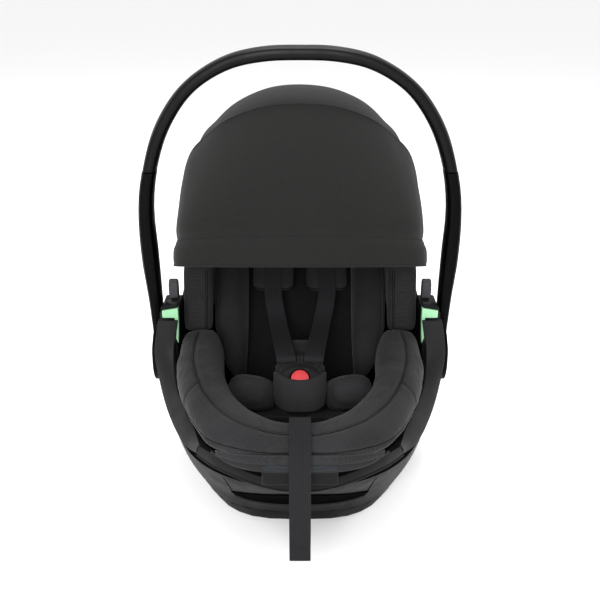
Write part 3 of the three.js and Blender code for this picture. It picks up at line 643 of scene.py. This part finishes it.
# ---- soft pieces ----
def puff(made, cap, pressure=4.0, steps=20):
    """Fills the cover like a bag, by cloth simulation, moving no point further than cap."""
    start = [vertex.co.copy() for vertex in made.data.vertices]
    cloth = modify(made, "CLOTH")
    cloth.settings.use_pressure = True
    cloth.settings.uniform_pressure_force = pressure
    cloth.settings.effector_weights.gravity = 0
    cloth.point_cache.frame_end = steps
    for step in range(1, steps + 1):
        bpy.context.scene.frame_set(step)
    bake(made)
    bpy.context.scene.frame_set(1)
    for vertex, origin in zip(made.data.vertices, start):
        move = vertex.co - origin
        if move.length > cap:
            vertex.co = origin + move * (cap / move.length)
    made.data.update()


def ripple(made, size, depth):
    """Low uneven waves, as a cover has over foam."""
    normals = [vertex.normal.copy() for vertex in made.data.vertices]
    for vertex, normal in zip(made.data.vertices, normals):
        vertex.co += normal * depth * noise.noise(vertex.co / size)
    made.data.update()


def stuffed(name, node, voxel, shrink, cap, material, waves_deep=0.5 * MM, relax=6, pressure=4.0):
    """The soft cover of a CAD solid: drawn in, remeshed, filled by simulation and relaxed."""
    made = cad_copy(name, node, material)
    normals = [vertex.normal.copy() for vertex in made.data.vertices]
    for vertex, normal in zip(made.data.vertices, normals):
        vertex.co -= normal * shrink
    made.data.update()
    modify(made, "REMESH", mode="VOXEL", voxel_size=voxel)
    modify(made, "SMOOTH", factor=0.5, iterations=relax)
    bake(made)
    puff(made, cap, pressure)
    modify(made, "SMOOTH", factor=0.5, iterations=2)
    softened(made)
    ripple(made, 28 * MM, waves_deep)
    return made


def mirrored(made, name):
    """The same piece on the other side of the seat."""
    mesh = made.data.copy()
    for vertex in mesh.vertices:
        vertex.co.x = -vertex.co.x
    mesh.flip_normals()
    return link(name, mesh)


# ---- the seat's own frames and outlines ----
BACK_FOOT, BACK_SLOPE = Vector((0, -20 * MM, 90 * MM)), math.radians(42.7)
BUCKLE_FOOT, BUCKLE_SLOPE = Vector((0, -102 * MM, 177 * MM)), math.radians(48)


def on_slope(origin, slope, x, along, lift):
    c, s = math.cos(slope), math.sin(slope)
    return origin + Vector((x, along * c - lift * s, along * s + lift * c)) * MM


def on_back(x, along, lift):
    """A point over the backrest in millimetres: across, the way up it, and the height over it."""
    return on_slope(BACK_FOOT, BACK_SLOPE, x, along, lift)


def on_buckle(x, along, lift):
    return on_slope(BUCKLE_FOOT, BUCKLE_SLOPE, x, along, lift)


def squared(value, power):
    return math.copysign(abs(value) ** (2 / power), value)


def plan(angle, half_width, front, back, power):
    """A point (x, y) of a rounded plan outline whose front and back halves differ, in metres."""
    y = squared(math.sin(angle), power)
    return half_width * squared(math.cos(angle), power), y * (back if y > 0 else front)


# ---- rigid mouldings ----
# The nodes whose look isn't simply that of their slot: the inner tub takes the near-black plastic as painted
# shade, and the base tray and handle legs take darker copies as painted shade.
LOOK = {
    "inner_tub": DARK_JOINT_AND_SHADE, "recline_latch": MATERIAL["shell_plastic"], "base_tray": BASE_SHADE,
    "handle_leg_left": HANDLE_LEG_SHADE, "handle_leg_right": HANDLE_LEG_SHADE,
}


def moulded(node, edge=0.9 * MM, smooth=0, angle=34):
    """A CAD node's shape with softened edges and, for curved mouldings, an even surface."""
    look = LOOK.get(node, MATERIAL[SLOT[node]])
    made = cad_copy(f"{node}.moulded", node, look)
    bevelled(made, edge, 2, angle)
    if smooth:
        modify(made, "SUBSURF", levels=smooth, render_levels=smooth)
    modify(made, "WEIGHTED_NORMAL", keep_sharp=False, weight=80)
    bake(made)
    return fasten(made, node)


def make_mouldings():
    even = ["outer_shell", "inner_tub", "head_shell", "rear_lever", "recline_latch", "handle_top"]
    for node in even:
        made = moulded(node, 1.2 * MM, smooth=1)
        if node == "inner_tub":
            # Drawn in at the foot end, so that it stays clear of the front band when the tub reclines.
            for vertex in made.data.vertices:
                low = 1 - smoothstep(vertex.co.z / MM, 150, 180)
                vertex.co.y += 9 * MM * smoothstep(-vertex.co.y / MM, 150, 240) * low
            made.data.update()
    crisp = ["base_tray", "latch_bar_front", "latch_bar_rear", "rear_belt_guide", "head_pull",
             "adjuster_plate", "adjuster_button"]
    paired = ["hub_housing", "hub_bolt", "release_tab", "handle_leg", "canopy_arm", "canopy_pin", "tongue"]
    for node in crisp + [f"{node}_{side}" for node in paired for side, _ in SIDES]:
        made = moulded(node)
        if node.startswith("canopy_arm"):
            # Straightened, so that it passes outside the fixed section's cloth as the canopy folds.
            for vertex in made.data.vertices:
                reach = math.hypot(vertex.co.y / MM - HINGE_Y, vertex.co.z / MM - HINGE_Z)
                vertex.co.x += math.copysign(5 * min(reach / 196, 1) ** 3 + 0.4, vertex.co.x) * MM
            made.data.update()


# The right side arm, from the top of its fin to the front band: its middle, and the step over its width.
ARM_RUN = [
    ((180, -60, 240), (-27, 0, 0)), ((187, -66, 195), (-27, -5, 3)), ((182, -84, 156), (-25, -18, 9)),
    ((165, -125, 135), (-25, -16, 17)), ((143, -178, 132), (-17, 0, 19)), ((126, -218, 138), (-5, -8, 18)),
]
ARM_OUTER, ARM_INNER = (
    [Vector(middle) + Vector(step) * share for middle, step in ARM_RUN] for share in (-0.5, 0.5)
)
# The front band's plan, a rounded outline, and how far each of its edges reaches from the middle.
BAND_WIDE, BAND_FRONT, BAND_POWER = 174, 285, 2.4
BAND_REACH_UPPER, BAND_REACH_LOWER = 123, 128


def band_upper(x):
    """The height of the band's upper edge: it climbs away from the middle and dips at the seam."""
    return 138 + 12.5 * smoothstep(x, 10, 112) - 3.5 * smoothstep(x, 104, 123)


def band_lower(x):
    return 125 + 9 * smoothstep(x, 8, 92) - 4 * smoothstep(x, 93, 128)


def band_edge(reach, height, steps=12):
    """One edge of the band, from its right-hand seam to the left-hand one."""
    made = []
    for step in range(steps + 1):
        x = reach * (1 - 2 * step / steps)
        deep = (1 - (abs(x) / BAND_WIDE) ** BAND_POWER) ** (1 / BAND_POWER)
        made.append(Vector((x, -BAND_FRONT * deep, height(abs(x)))))
    return made


def swept_strip(name, lower, upper, depth, bulge, material, steps=60):
    """A crowned strip between two edges, with its back set in from its front; points in millimetres."""
    rings = []
    middle = Vector((0, 0, 150))
    for step in range(steps + 1):
        t = step / steps
        low, high = spline(lower, t), spline(upper, t)
        ahead = spline(lower, min(t + 0.01, 1)) + spline(upper, min(t + 0.01, 1))
        behind = spline(lower, max(t - 0.01, 0)) + spline(upper, max(t - 0.01, 0))
        out = (ahead - behind).cross(high - low).normalized()
        if out.dot(low - middle) < 0:
            out = -out
        front = [
            low.lerp(high, share) + out * bulge * math.sin(math.pi * share)
            for share in (0, 0.04, 0.2, 0.5, 0.8, 0.96, 1)
        ]
        rings.append([point * MM for point in front + [high - out * depth, low - out * depth]])
    made = loft(name, rings, material)
    bevelled(made, 1.6 * MM, 3, 50)
    modify(made, "WEIGHTED_NORMAL", weight=80)
    return bake(made)


def upright(x, z, y):
    """A point of an outline in the XZ plane, in millimetres, at a depth along Y."""
    return Vector((x, y, z)) * MM


def make_front():
    """The side arms, the front band, a near-black sheet of painted shade over the undercut below it and the
    green belt guides.
    """
    shell = MATERIAL["shell_plastic"]
    arm = swept_strip("side_arm_right", ARM_OUTER, ARM_INNER, 8, 2.5, SIDE_ARM_LIGHT)
    fasten(arm, "side_trim_right")
    fasten(mirrored(arm, "side_arm_left"), "side_trim_left")
    foot = band_edge(BAND_REACH_LOWER, band_lower)
    band = swept_strip("front_band", foot, band_edge(BAND_REACH_UPPER, band_upper), 7, 1.2, shell, 90)
    fasten(band, "front_trim")
    lip = [spline(foot, step / 80) * MM + Vector((0, -0.6, -0.4)) * MM for step in range(81)]
    fasten(tube("front_band_lip", lip, 0.9 * MM, MATERIAL["tub_plastic"]), body="shell", slot="tub_plastic")

    tree = surface(bpy.data.objects["outer_shell.moulded"])

    # A near-black sheet laid over the shell's downward-facing undercut: painted shade.
    def undercut_shade_point(u, v):
        across = 2 * u - 1
        high = lerp(101, 68, abs(across) ** 1.6)
        low = lerp(47, 58, abs(across) ** 3)
        z = lerp(low, high, v)
        start = Vector((across * lerp(84, 88, v), -400, z)) * MM
        return tree.ray_cast(start, INWARD)[0] + Vector((0, -0.8, -0.4)) * MM

    undercut_shade = grid_object("front_undercut_painted_shade", 40, 14, undercut_shade_point, DARK_JOINT_AND_SHADE)
    thickened(undercut_shade, 1.2 * MM)
    fasten(undercut_shade, body="shell", slot="shell_plastic")
    ledge = [undercut_shade_point(step / 40, -0.02) + Vector((0, -0.6, -0.6)) * MM for step in range(41)]
    fasten(tube("recess_ledge", ledge, 1.5 * MM, shell), body="shell", slot="shell_plastic")
    for side, sign in SIDES:
        run = [
            Vector((sign * (87 + 10 * t ** 2), -400, lerp(62, 126, t))) * MM for t in (1, 0.8, 0.6, 0.3, 0)
        ]
        spots = [tree.ray_cast(start, INWARD)[0] + Vector((0, -0.1, 0)) * MM for start in run]
        fasten(tube(f"panel_seam_{side}", spots, 0.7 * MM, DARK_JOINT_AND_SHADE), body="shell", slot="shell_plastic")

    hook = [(188, 242), (188, 253), (166, 257), (166, 236), (168, 203), (172, 213), (171, 235), (171, 242)]
    guide = extruded("belt_hook_right", hook, -56, -47, upright, MATERIAL["guide_plastic"], 1.4 * MM)
    fasten(guide, "belt_guide_right")
    fasten(mirrored(guide, "belt_hook_left"), "belt_guide_left")
    cap_outline = [(188, 241), (166, 241), (166, 254), (181, 253), (188, 249)]
    cap = extruded("hub_cap_right", cap_outline, -46.6, -11, upright, MATERIAL["handle_plastic"], 1.6 * MM)
    wedge = [(189, 254), (166, 258), (166, 263), (181, 262), (189, 257)]
    brow = extruded("hub_brow_right", wedge, -57, -46, upright, MATERIAL["handle_plastic"], 1.6 * MM)
    for piece, name in ((cap, "hub_cap_left"), (brow, "hub_brow_left")):
        fasten(piece, body="shell", slot="handle_plastic")
        fasten(mirrored(piece, name), body="shell", slot="handle_plastic")


def on_rim_face(x, z, grow):
    """A point of the tub's upright front face, which follows the rim's plan, in metres."""
    share = abs(x) / (176 + grow)
    along = max(1 - share ** 2.5, 0) ** (1 / 2.5)
    return Vector((x, -(334 + grow) * along, z)) * MM


def make_tub_front():
    """The skirt below the rim, the slim lip under it and the recline bar."""
    def skirt_high(x):
        return 207 - 14.5 * (x / 98) ** 2.4

    def skirt_low(x):
        return 196 - 8.4 * smoothstep(x, 10, 98)

    def lip_low(x):
        return 184.5 - 2.3 * smoothstep(x, 0, 70) + 5.2 * smoothstep(x, 68, 104)

    def face(high, low, grow, reach):
        def point(u, v):
            x = (2 * u - 1) * reach
            return on_rim_face(x, lerp(high(abs(x)), low(abs(x)), v), grow + 0.8 * math.sin(math.pi * v))
        return point

    skirt = grid_object("rim_skirt", 70, 8, face(skirt_high, skirt_low, -1.2, 94), MATERIAL["seat_fabric"])
    lip = grid_object("tub_lip", 70, 6, face(skirt_low, lip_low, -2.4, 100), MATERIAL["tub_plastic"])
    for made, thick in ((skirt, 2.4 * MM), (lip, 3 * MM)):
        modify(made, "SOLIDIFY", thickness=thick, offset=0)
        bevelled(made, 0.8 * MM, 2, 40)
        bake(made)
        turn_outward(made)
    fasten(skirt, body="tub", slot="seat_fabric")
    fasten(lip, "tub_front_rim")
    edge = [face(skirt_high, skirt_low, -0.2, 94)(step / 70, 0.02) for step in range(71)]
    fasten(tube("skirt_piping", edge, 1.0 * MM, PIPING), body="tub", slot="seat_fabric")
    rings = []
    for step in range(41):
        x = lerp(-41, 41, step / 40)
        end = 1 - smoothstep(abs(x), 37.5, 41.2) * 0.5
        centre = on_rim_face(x, 189.6, -2)
        rings.append([
            centre + Vector((0, across * 2.6, lift * 4.2 * end)) * MM
            for across, lift in arc((0, 0), 1, 0, 337.5, 15)
        ])
    fasten(loft("recline_grip", rings, MATERIAL["bar_plastic"]), "recline_bar")


# ---- canopy ----
HINGE_Y, HINGE_Z = 70, 276
REAR_HOOP = [(150, 24), (150, 105), (140, 178), (116, 208), (86, 233), (45, 250), (0, 255)]
SEAM_HOOP = [(161, 45), (161, 125), (145, 190), (120, 222), (90, 247), (47, 265), (0, 270)]
BRIM_HOOP = [(158, 45), (157, 150), (152, 215), (141, 243), (108, 258), (60, 267), (0, 270)]
FOLD_SEAM, FOLD_BRIM, FOLD_END = 112, 153, 160.2
rear_reach = stations((0, 258), (45, 250), (83, 257), (115, 262))


def hoop_point(points, u, inset=0.0):
    """(x, distance from the fold axis) at 0..1 round a hoop from the right side to the left."""
    whole = [Vector(p) for p in points] + [Vector((-x, y)) for x, y in reversed(points[:-1])]
    here = spline(whole, u)
    ahead, behind = spline(whole, min(u + 0.004, 1)), spline(whole, max(u - 0.004, 0))
    side = (ahead - behind).normalized()
    return here + Vector((side.y, -side.x)) * -inset


def folded(x, reach, angle):
    turn = math.radians(angle)
    return Vector((x, HINGE_Y + reach * math.cos(turn), HINGE_Z + reach * math.sin(turn))) * MM


def front_point(u, angle, inset=0.0):
    share = (angle - FOLD_SEAM) / (FOLD_END - FOLD_SEAM)
    point = hoop_point(SEAM_HOOP, u, inset).lerp(hoop_point(BRIM_HOOP, u, inset), share)
    return folded(point.x * (1 + 0.018 * math.sin(math.pi * min(max(share, 0), 1))), point.y, angle)


def hood_point(u, v):
    """The front section's cloth: taut at its hoops, drawn in a little between them and over the brim."""
    angle = lerp(FOLD_SEAM, FOLD_END, v)
    slack = 1.6 * math.sin(math.pi * min(v / 0.84, 1)) ** 2
    pinch = 2.2 * math.exp(-((v - 0.8) / 0.045) ** 2)
    brim = -3.0 * smoothstep(v, 0.84, 0.9) * (1 - 0.35 * smoothstep(v, 0.97, 1))
    ridge = -1.2 * math.exp(-(v / 0.03) ** 2)
    side = abs(2 * u - 1)
    corner = smoothstep(side, 0.7, 0.86) * smoothstep(v, 0.9, 1) * 5
    drape = 0.8 * noise.noise(Vector((u * 9, v * 3, 2.0)))
    return front_point(u, angle - corner * 0.35, slack + pinch + brim + ridge + drape)


def cut_size(point, steps=40):
    """(width, length) of the flat cloth that a curved sheet was cut from, measured along its middles."""
    def run(points):
        return sum((b - a).length for a, b in zip(points, points[1:]))
    shares = [step / steps for step in range(steps + 1)]
    across = [run([point(u, v) for u in shares]) for v in (0.1, 0.5, 0.9)]
    along = [run([point(u, v) for v in shares]) for u in (0.1, 0.3, 0.5, 0.7, 0.9)]
    return sum(across) / len(across), sum(along) / len(along)


def make_canopy():
    hood = grid_object("canopy_hood", 110, 44, hood_point, MATERIAL["canopy_fabric"])
    modify(hood, "SOLIDIFY", thickness=2.4 * MM, offset=0)
    modify(hood, "SUBSURF", levels=1, render_levels=1)
    bake(hood)
    turn_outward(hood)
    fasten(hood, "canopy_front", "canopy_brim")
    cut_size(hood_point)
    edges = (("hood_edge_piping", FOLD_END - 0.1, -2.4), ("hood_seam_piping", FOLD_SEAM + 0.4, -1.2))
    for name, angle, inset in edges:
        points = [front_point(lerp(0.02, 0.98, step / 90), angle, inset) for step in range(91)]
        fasten(tube(name, points, 1.5 * MM, MATERIAL["canopy_fabric"]), body="canopy", slot="canopy_fabric")
    for number, angle in enumerate((FOLD_BRIM - 0.2, FOLD_BRIM + 0.9)):
        route = [front_point(lerp(0.03, 0.97, step / 40), angle, 0) for step in range(41)]
        spots, normals = laid(surface(hood), route, 3.8 * MM, 0.1 * MM)
        row = dashes(f"brim_stitches_{number + 1}", spots, normals, 2.6 * MM)
        fasten(row, body="canopy", slot="canopy_fabric")

    def rear_point(u, v):
        turn = lerp(4, 115, v)
        hoop = hoop_point(REAR_HOOP, u, 1.2 * math.sin(math.pi * v) ** 2)
        narrow = 1 - 0.2 * smoothstep(hoop.y, 60, 150) * (1 - smoothstep(turn, 4, 50))
        drape = 0.9 * noise.noise(Vector((u * 8, v * 5, 7.0)))
        return folded(hoop.x * narrow, (hoop.y - 1.5 - drape) * rear_reach(turn) / 255, turn)

    rear = grid_object("canopy_back", 110, 70, rear_point, MATERIAL["canopy_fabric"])
    thickened(rear, 2.4 * MM)
    fasten(rear, "canopy_rear")
    cut_size(rear_point)
    for name, share in (("back_edge_piping", 0.985), ("back_hoop_ridge", 0.52)):
        points = [rear_point(lerp(0.02, 0.98, step / 90), share) for step in range(91)]
        fasten(tube(name, points, 1.7 * MM, MATERIAL["canopy_fabric"]), body="shell", slot="canopy_fabric")


# ---- harness ----
def make_harness():
    route = [on_buckle(18, 16.5, 9), on_buckle(20, 30, 7), on_back(31, 100, 51), on_back(40, 152, 39),
             on_back(41, 186, 37), on_back(41, 232, 37)]
    for side, sign in SIDES:
        points = on_side(even_points(route, 4 * MM), sign)
        strap = ribbon(f"harness_webbing_{side}", points, STRAP_WIDTH, 2 * MM, MATERIAL["webbing"])
        fasten(strap, f"harness_strap_{side}")
    points = even_points([on_buckle(0, -66, -14), on_buckle(0, -57, -14), on_buckle(0, -48.6, -14)], 3 * MM)
    fasten(ribbon("crotch_webbing", points, 24 * MM, 4 * MM, MATERIAL["webbing"]), "crotch_strap")


def extruded(name, outline, low, high, place_point, material, edge=0.8 * MM):
    """A flat outline in millimetres (x, along), given thickness and softened edges."""
    rings = [[place_point(x, along, lift) for x, along in outline] for lift in (low, high)]
    made = loft(name, rings, material)
    bevelled(made, edge, 3, 40)
    modify(made, "WEIGHTED_NORMAL", weight=80)
    return bake(made)


def arc(centre, radius, start, end, steps):
    turns = [math.radians(lerp(start, end, step / steps)) for step in range(steps + 1)]
    return [(centre[0] + radius * math.cos(t), centre[1] + radius * math.sin(t)) for t in turns]


def make_buckle():
    """The housing in three stepped layers, its round button and the post between the tongues."""
    grey = MATERIAL["tub_plastic"]
    body = [(-25, -16), (25, -16), (29, 3), (28, 11)]
    body += [(x, 19 - 8 * (x / 28) ** 2) for x in range(24, -25, -4)] + [(-28, 11), (-29, 3)]
    bore = loft("button_bore", [
        [on_buckle(x, along, lift) for x, along in arc((0, -6), 12.5, 0, 352.5, 47)] for lift in (3.5, 18)
    ], grey)

    def bored(made):
        """Cuts the button's bore into one layer of the housing."""
        modify(made, "BOOLEAN", operation="DIFFERENCE", object=bore, solver="EXACT")
        bake(made)
        return made

    housing = bored(extruded("buckle_body", body, -6, 6.5, on_buckle, grey, 1.2 * MM))
    fasten(housing, "buckle_housing")
    for number, (crown, foot, half, top) in enumerate(((14.2, 0.5, 26, 8.2), (11.2, -1.5, 24.5, 10.2))):
        step = [(-half + 3, -16), (half - 3, -16), (half, foot)]
        step += [
            (half * math.cos(math.radians(turn)), foot + (crown - foot) * math.sin(math.radians(turn)))
            for turn in range(12, 169, 12)
        ] + [(-half, foot)]
        layer = bored(extruded(f"buckle_step_{number + 1}", step, 4, top, on_buckle, grey, 0.7 * MM))
        fasten(layer, body="tub", slot="tub_plastic")
        # A near-black line along the step's edge: painted shade under it.
        line = [on_buckle(x, along, top - 1.5) for x, along in step[2:]]
        fasten(tube(f"buckle_line_{number + 1}", line, 0.6 * MM, DARK_JOINT_AND_SHADE), body="tub", slot="tub_plastic")
    bpy.data.objects.remove(bore)
    # The button's (radius, height) from its foot over its rounded edge to its crown.
    profile = ((12, 7), (12, 12.6), (11.6, 13.6), (10.6, 14.4), (8, 15.2), (4, 15.6), (0.8, 15.7))
    rings = [
        [on_buckle(x, along, lift) for x, along in arc((0, -6), radius, 0, 352.5, 47)]
        for radius, lift in profile
    ]
    fasten(loft("release_button", rings, MATERIAL["button_plastic"]), "buckle_button")
    # A near-black ring round the button: painted shade in the gap.
    collar = [on_buckle(x, along, 10.3) for x, along in arc((0, -6), 13.1, 0, 360, 48)]
    fasten(tube("button_collar", collar, 0.8 * MM, DARK_JOINT_AND_SHADE), body="tub", slot="tub_plastic")
    for sign in (-1, 1):
        post = [(sign * 0.35, 15), (sign * 4.2, 15), (sign * 4.0, 27), (sign * 0.35, 27)]
        name = f"tongue_post_{'right' if sign > 0 else 'left'}"
        fasten(extruded(name, post, 2, 9, on_buckle, grey, 0.5 * MM), body="tub", slot="tub_plastic")


def make_pocket():
    def point(u, v, lift=0.0):
        across = 2 * u - 1
        along = lerp(-52 + 12 * across ** 4, -10.3 + 16.5 * abs(across) ** 2.2, v)
        half = lerp(29.5, 35, smoothstep(along, -52, -18))
        crown = 17.6 + 2.2 * math.sin(math.pi * min(v / 0.9, 1)) * (1 - across ** 2)
        return on_buckle(across * half, along, crown - 14.5 * across ** 4 + lift)

    # The pocket takes the painted-light copy of the cloth.
    pocket = grid_object("buckle_pocket", 40, 30, point, RAISED_LIT_CLOTH)
    modify(pocket, "SOLIDIFY", thickness=2.2 * MM, offset=0)
    modify(pocket, "SUBSURF", levels=1, render_levels=1)
    bake(pocket)
    turn_outward(pocket)
    fasten(pocket, "crotch_pocket")
    hem = [point(lerp(0.03, 0.97, step / 30), 1.0) for step in range(31)]
    fasten(tube("pocket_binding", hem, 1.3 * MM, PIPING), body="tub", slot="seat_fabric")


# ---- padded pieces ----
def rim_flat(angle, mix):
    """A point (x, y) of the rim's plan in millimetres: mix 0 at its inner edge and 1 at its outer one."""
    x, y = plan(angle, 176, 334, 0, 2.5)
    outer = Vector((x * (1 - 0.066 * smoothstep(y, -130, -52)), y))
    inner = Vector(plan(angle, 108, 284, 0, 2.2))
    return inner.lerp(outer, mix), outer


def rim_route(mix, start=-6, end=-174, steps=24, drop=0.0):
    """Points round the padded rim, drop half thicknesses below its crest."""
    made = []
    for step in range(steps + 1):
        flat, outer = rim_flat(math.radians(lerp(start, end, step / steps)), mix)
        foot = smoothstep(-outer.y, 140, 334)
        half = lerp(26, 17.5, foot)
        crest = lerp(221, 226, foot)
        made.append(Vector((flat.x, flat.y, crest + 8 - drop * half)) * MM)
    return made


def make_rim():
    rim = stuffed("rim_cover", "rim_pad", 5 * MM, 1.6 * MM, 3.6 * MM, MATERIAL["seat_fabric"], 0.9 * MM)
    for vertex in rim.data.vertices:
        x, y = abs(vertex.co.x) / MM, vertex.co.y / MM
        turn = math.degrees(math.atan2(-y, x))
        flat, _ = rim_flat(-math.radians(min(max(turn, 1), 90)), 0.5)
        reach = Vector((x, y)).length - Vector((abs(flat.x), flat.y)).length
        corner = math.exp(-((turn - 62) / 15) ** 2) * smoothstep(reach, -4, 16) * 15
        inside = lerp(-8, 5, smoothstep(turn, 8, 50)) * smoothstep(-reach, 0, 18)
        away = Vector((vertex.co.x, vertex.co.y, 0)).normalized()
        vertex.co += (away * (corner - inside) - UP * corner * 0.45) * MM
    rim.data.update()
    seam(rim, "rim_ridge", rim_route(0.6), "tub", 3.2 * MM, 2.2 * MM, rows=(-2 * MM, 2 * MM))
    seam(rim, "rim_front", rim_route(1.03, -38, -142, 24, 1.5), "tub", 2.6 * MM, 1.4 * MM)
    for side, sign in SIDES:
        points = []
        for mix in (0.6, 0.74, 0.86, 0.96, 1.04):
            flat, _ = rim_flat(math.radians(-33 - 4 * mix), mix)
            points.append(Vector((flat.x * sign, flat.y, 232 - 36 * mix ** 3)) * MM)
        seam(rim, f"rim_cross_{side}", points, "tub", 2.4 * MM, 1.4 * MM)
    fasten(rim, "rim_pad")


# Covers that reach past their foam: the point that stays and the growth along each axis.
SPREAD = {
    "thigh_cushion": ((66, -101, 146), (1.22, 1.06, 1.16)),
    "liner_wing": ((76, 40, 200), (1.24, 1, 1)),
}


def make_liners():
    """The cover's flat parts: the cloth over the backrest and the padded front ends of the surround."""
    seat = MATERIAL["seat_fabric"]

    def lining_point(u, v):
        x = (2 * u - 1) * 96
        return on_back(x, lerp(6, 300, v), 1.2 + 16 * (abs(x) / 96) ** 6)

    # The lining takes the painted-shade copy of the cloth.
    lining = grid_object("back_lining", 48, 60, lining_point, SUNKEN_SHADED_CLOTH)
    thickened(lining, 2 * MM)
    fasten(lining, body="tub", slot="seat_fabric")
    cut_size(lining_point)
    rings, middle = [], 144.5
    for step in range(31):
        t = step / 30
        end = (1 - abs(2 * t - 1) ** 8) ** 0.5
        centre = Vector((middle, lerp(-12, 14, t), lerp(203, 300, t)))
        wide, thick = 20.5 * (0.7 + 0.3 * end), 13 * end
        rings.append([
            (centre + Vector((wide * squared(math.cos(a), 3), -thick * squared(math.sin(a), 2.4), 0))) * MM
            for a in (2 * math.pi * number / 28 for number in range(28))
        ])
    panel = loft("surround_end_right", rings, seat)
    softened(panel)
    for offset in (-15, -12):
        route = [
            Vector((middle + offset, lerp(-27, 0, step / 12), lerp(208, 290, step / 12))) * MM
            for step in range(13)
        ]
        places, _ = laid(surface(panel), route, 3 * MM, 0.05 * MM)
        for side, sign in SIDES:
            line = tube(f"surround_seam_{side}_{-offset}", on_side(places, sign), 0.5 * MM, CREASE_SHADE)
            fasten(line, body="tub", slot="seat_fabric")
    left = mirrored(panel, "surround_end_left")
    for piece in (panel, left):
        fasten(piece, body="tub", slot="seat_fabric")


def make_sleeves():
    """The padded sleeves round the harness at the shoulders, each with a rounded lower end."""
    rings = []
    for step in range(29):
        t = step / 28
        end = (1 - abs(2 * t - 1) ** 7) ** 0.5
        along = lerp(167, 237, t)
        rings.append([
            on_back(41 + 31 * squared(math.cos(a), 3.4) * (0.35 + 0.65 * end), along,
                    27.5 + (6.8 * end + 0.4) * squared(math.sin(a), 2.2))
            for a in (2 * math.pi * number / 32 for number in range(32))
        ])
    sleeve = loft("shoulder_sleeve_right", rings, MATERIAL["seat_fabric"])
    softened(sleeve)
    ripple(sleeve, 20 * MM, 0.6 * MM)
    for side, sign in SIDES:
        edge = [on_back(sign * (41 + 29 * math.cos(a)), 172.5 + 4.5 * math.sin(a), 30.5)
                for a in (math.radians(turn) for turn in range(190, 351, 10))]
        fasten(tube(f"sleeve_seam_{side}", edge, 0.6 * MM, CREASE_SHADE), body="headrest", slot="seat_fabric")
    left = mirrored(sleeve, "shoulder_sleeve_left")
    for (side, _), piece in zip(SIDES, (sleeve, left)):
        fasten(piece, f"shoulder_pad_{side}")


def make_pads():
    seat = MATERIAL["seat_fabric"]
    for name, node, voxel, fill in (
        ("back_cover", "back_pad", 5 * MM, 0.5),
        ("seat_cover", "seat_pad", 5 * MM, 0.5),
        ("head_cover", "head_pad", 4.5 * MM, 0.6),
        ("surround_cover", "head_surround", 5.5 * MM, 0.6),
        ("crotch_cover", "crotch_pad", 4 * MM, 0.6),
    ):
        # The back and seat covers take the painted-shade copy of the cloth and the crotch cover the
        # painted-light copy.
        look = {"back_pad": SUNKEN_SHADED_CLOTH, "seat_pad": SUNKEN_SHADED_CLOTH, "crotch_pad": RAISED_LIT_CLOTH}.get(node, seat)
        made = stuffed(name, node, voxel, 2.4 * MM, 3.4 * MM, look)
        if node == "crotch_pad":
            for vertex in made.data.vertices:
                vertex.co.x *= 1.13
            made.data.update()
        if node == "back_pad":
            for number, along in enumerate((95, 165, 235)):
                route = [on_back(x, along, 2) for x in range(-54, 55, 12)]
                seam(made, f"back_channel_{number + 1}", route, "tub", 3 * MM, 1.8 * MM)
        if node == "head_pad":
            route = [on_back(x, 285, 30) for x in range(-60, 61, 12)]
            seam(made, "head_channel", route, "headrest", 3 * MM, 1.6 * MM)
        if node == "seat_pad":
            for vertex in made.data.vertices:
                vertex.co.z -= 42 * MM * smoothstep(-vertex.co.y / MM, 140, 215)
            made.data.update()
        fasten(made, node)
    paired = (
        ("thigh_pillow", "thigh_cushion", 4 * MM, 2.5 * MM, 4 * MM, 0.9),
        ("wing_cover", "liner_wing", 5 * MM, 1.6 * MM, 3.2 * MM, 0.6),
    )
    for name, node, voxel, shrink, cap, fill in paired:
        # The thigh cushions take the painted-light copy of the cloth.
        look = RAISED_LIT_CLOTH if node == "thigh_cushion" else seat
        right = stuffed(f"{name}_right", f"{node}_right", voxel, shrink, cap, look)
        anchor, scale = SPREAD[node]
        for vertex in right.data.vertices:
            for axis in range(3):
                start = anchor[axis] * MM
                vertex.co[axis] = start + (vertex.co[axis] - start) * scale[axis]
        right.data.update()
        if node == "thigh_cushion":
            low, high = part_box(f"{node}_right")
            rows = [
                (0.06, 0.62, 0.25), (0.12, 0.3, 0.12), (0.4, 0.1, 0.1), (0.75, 0.14, 0.15), (0.96, 0.45, 0.3)
            ]
            route = [
                Vector([lerp(low[axis], high[axis], share[axis]) for axis in range(3)]) for share in rows
            ]
            places, _ = laid(surface(right), route, 2 * MM)
            groove(right, places, 2.2 * MM, 1.0 * MM)
        if node == "liner_wing":
            route = [
                on_back(stations((26, 100), (55, 113), (103, 124), (218, 129))(along), along,
                        32 + 32 * smoothstep(along, 26, 141))
                for along in range(34, 214, 12)
            ]
            places, _ = laid(surface(right), route, 2 * MM)
            groove(right, places, 2.4 * MM, 1.2 * MM)
        left = mirrored(right, f"{name}_left")
        for (side, sign), made in zip(SIDES, (right, left)):
            fasten(made, f"{node}_{side}")
            points, body = on_side(route, sign), BODY[f"{node}_{side}"]
            piping(made, f"{name}_piping_{side}", points, body, 1.3 * MM, 0.2 * MM)


make_camera()
make_tail()
make_studio()
make_mouldings()
make_front()
make_tub_front()
make_canopy()
make_harness()
make_buckle()
make_pocket()
make_rim()
make_liners()
make_sleeves()
make_pads()
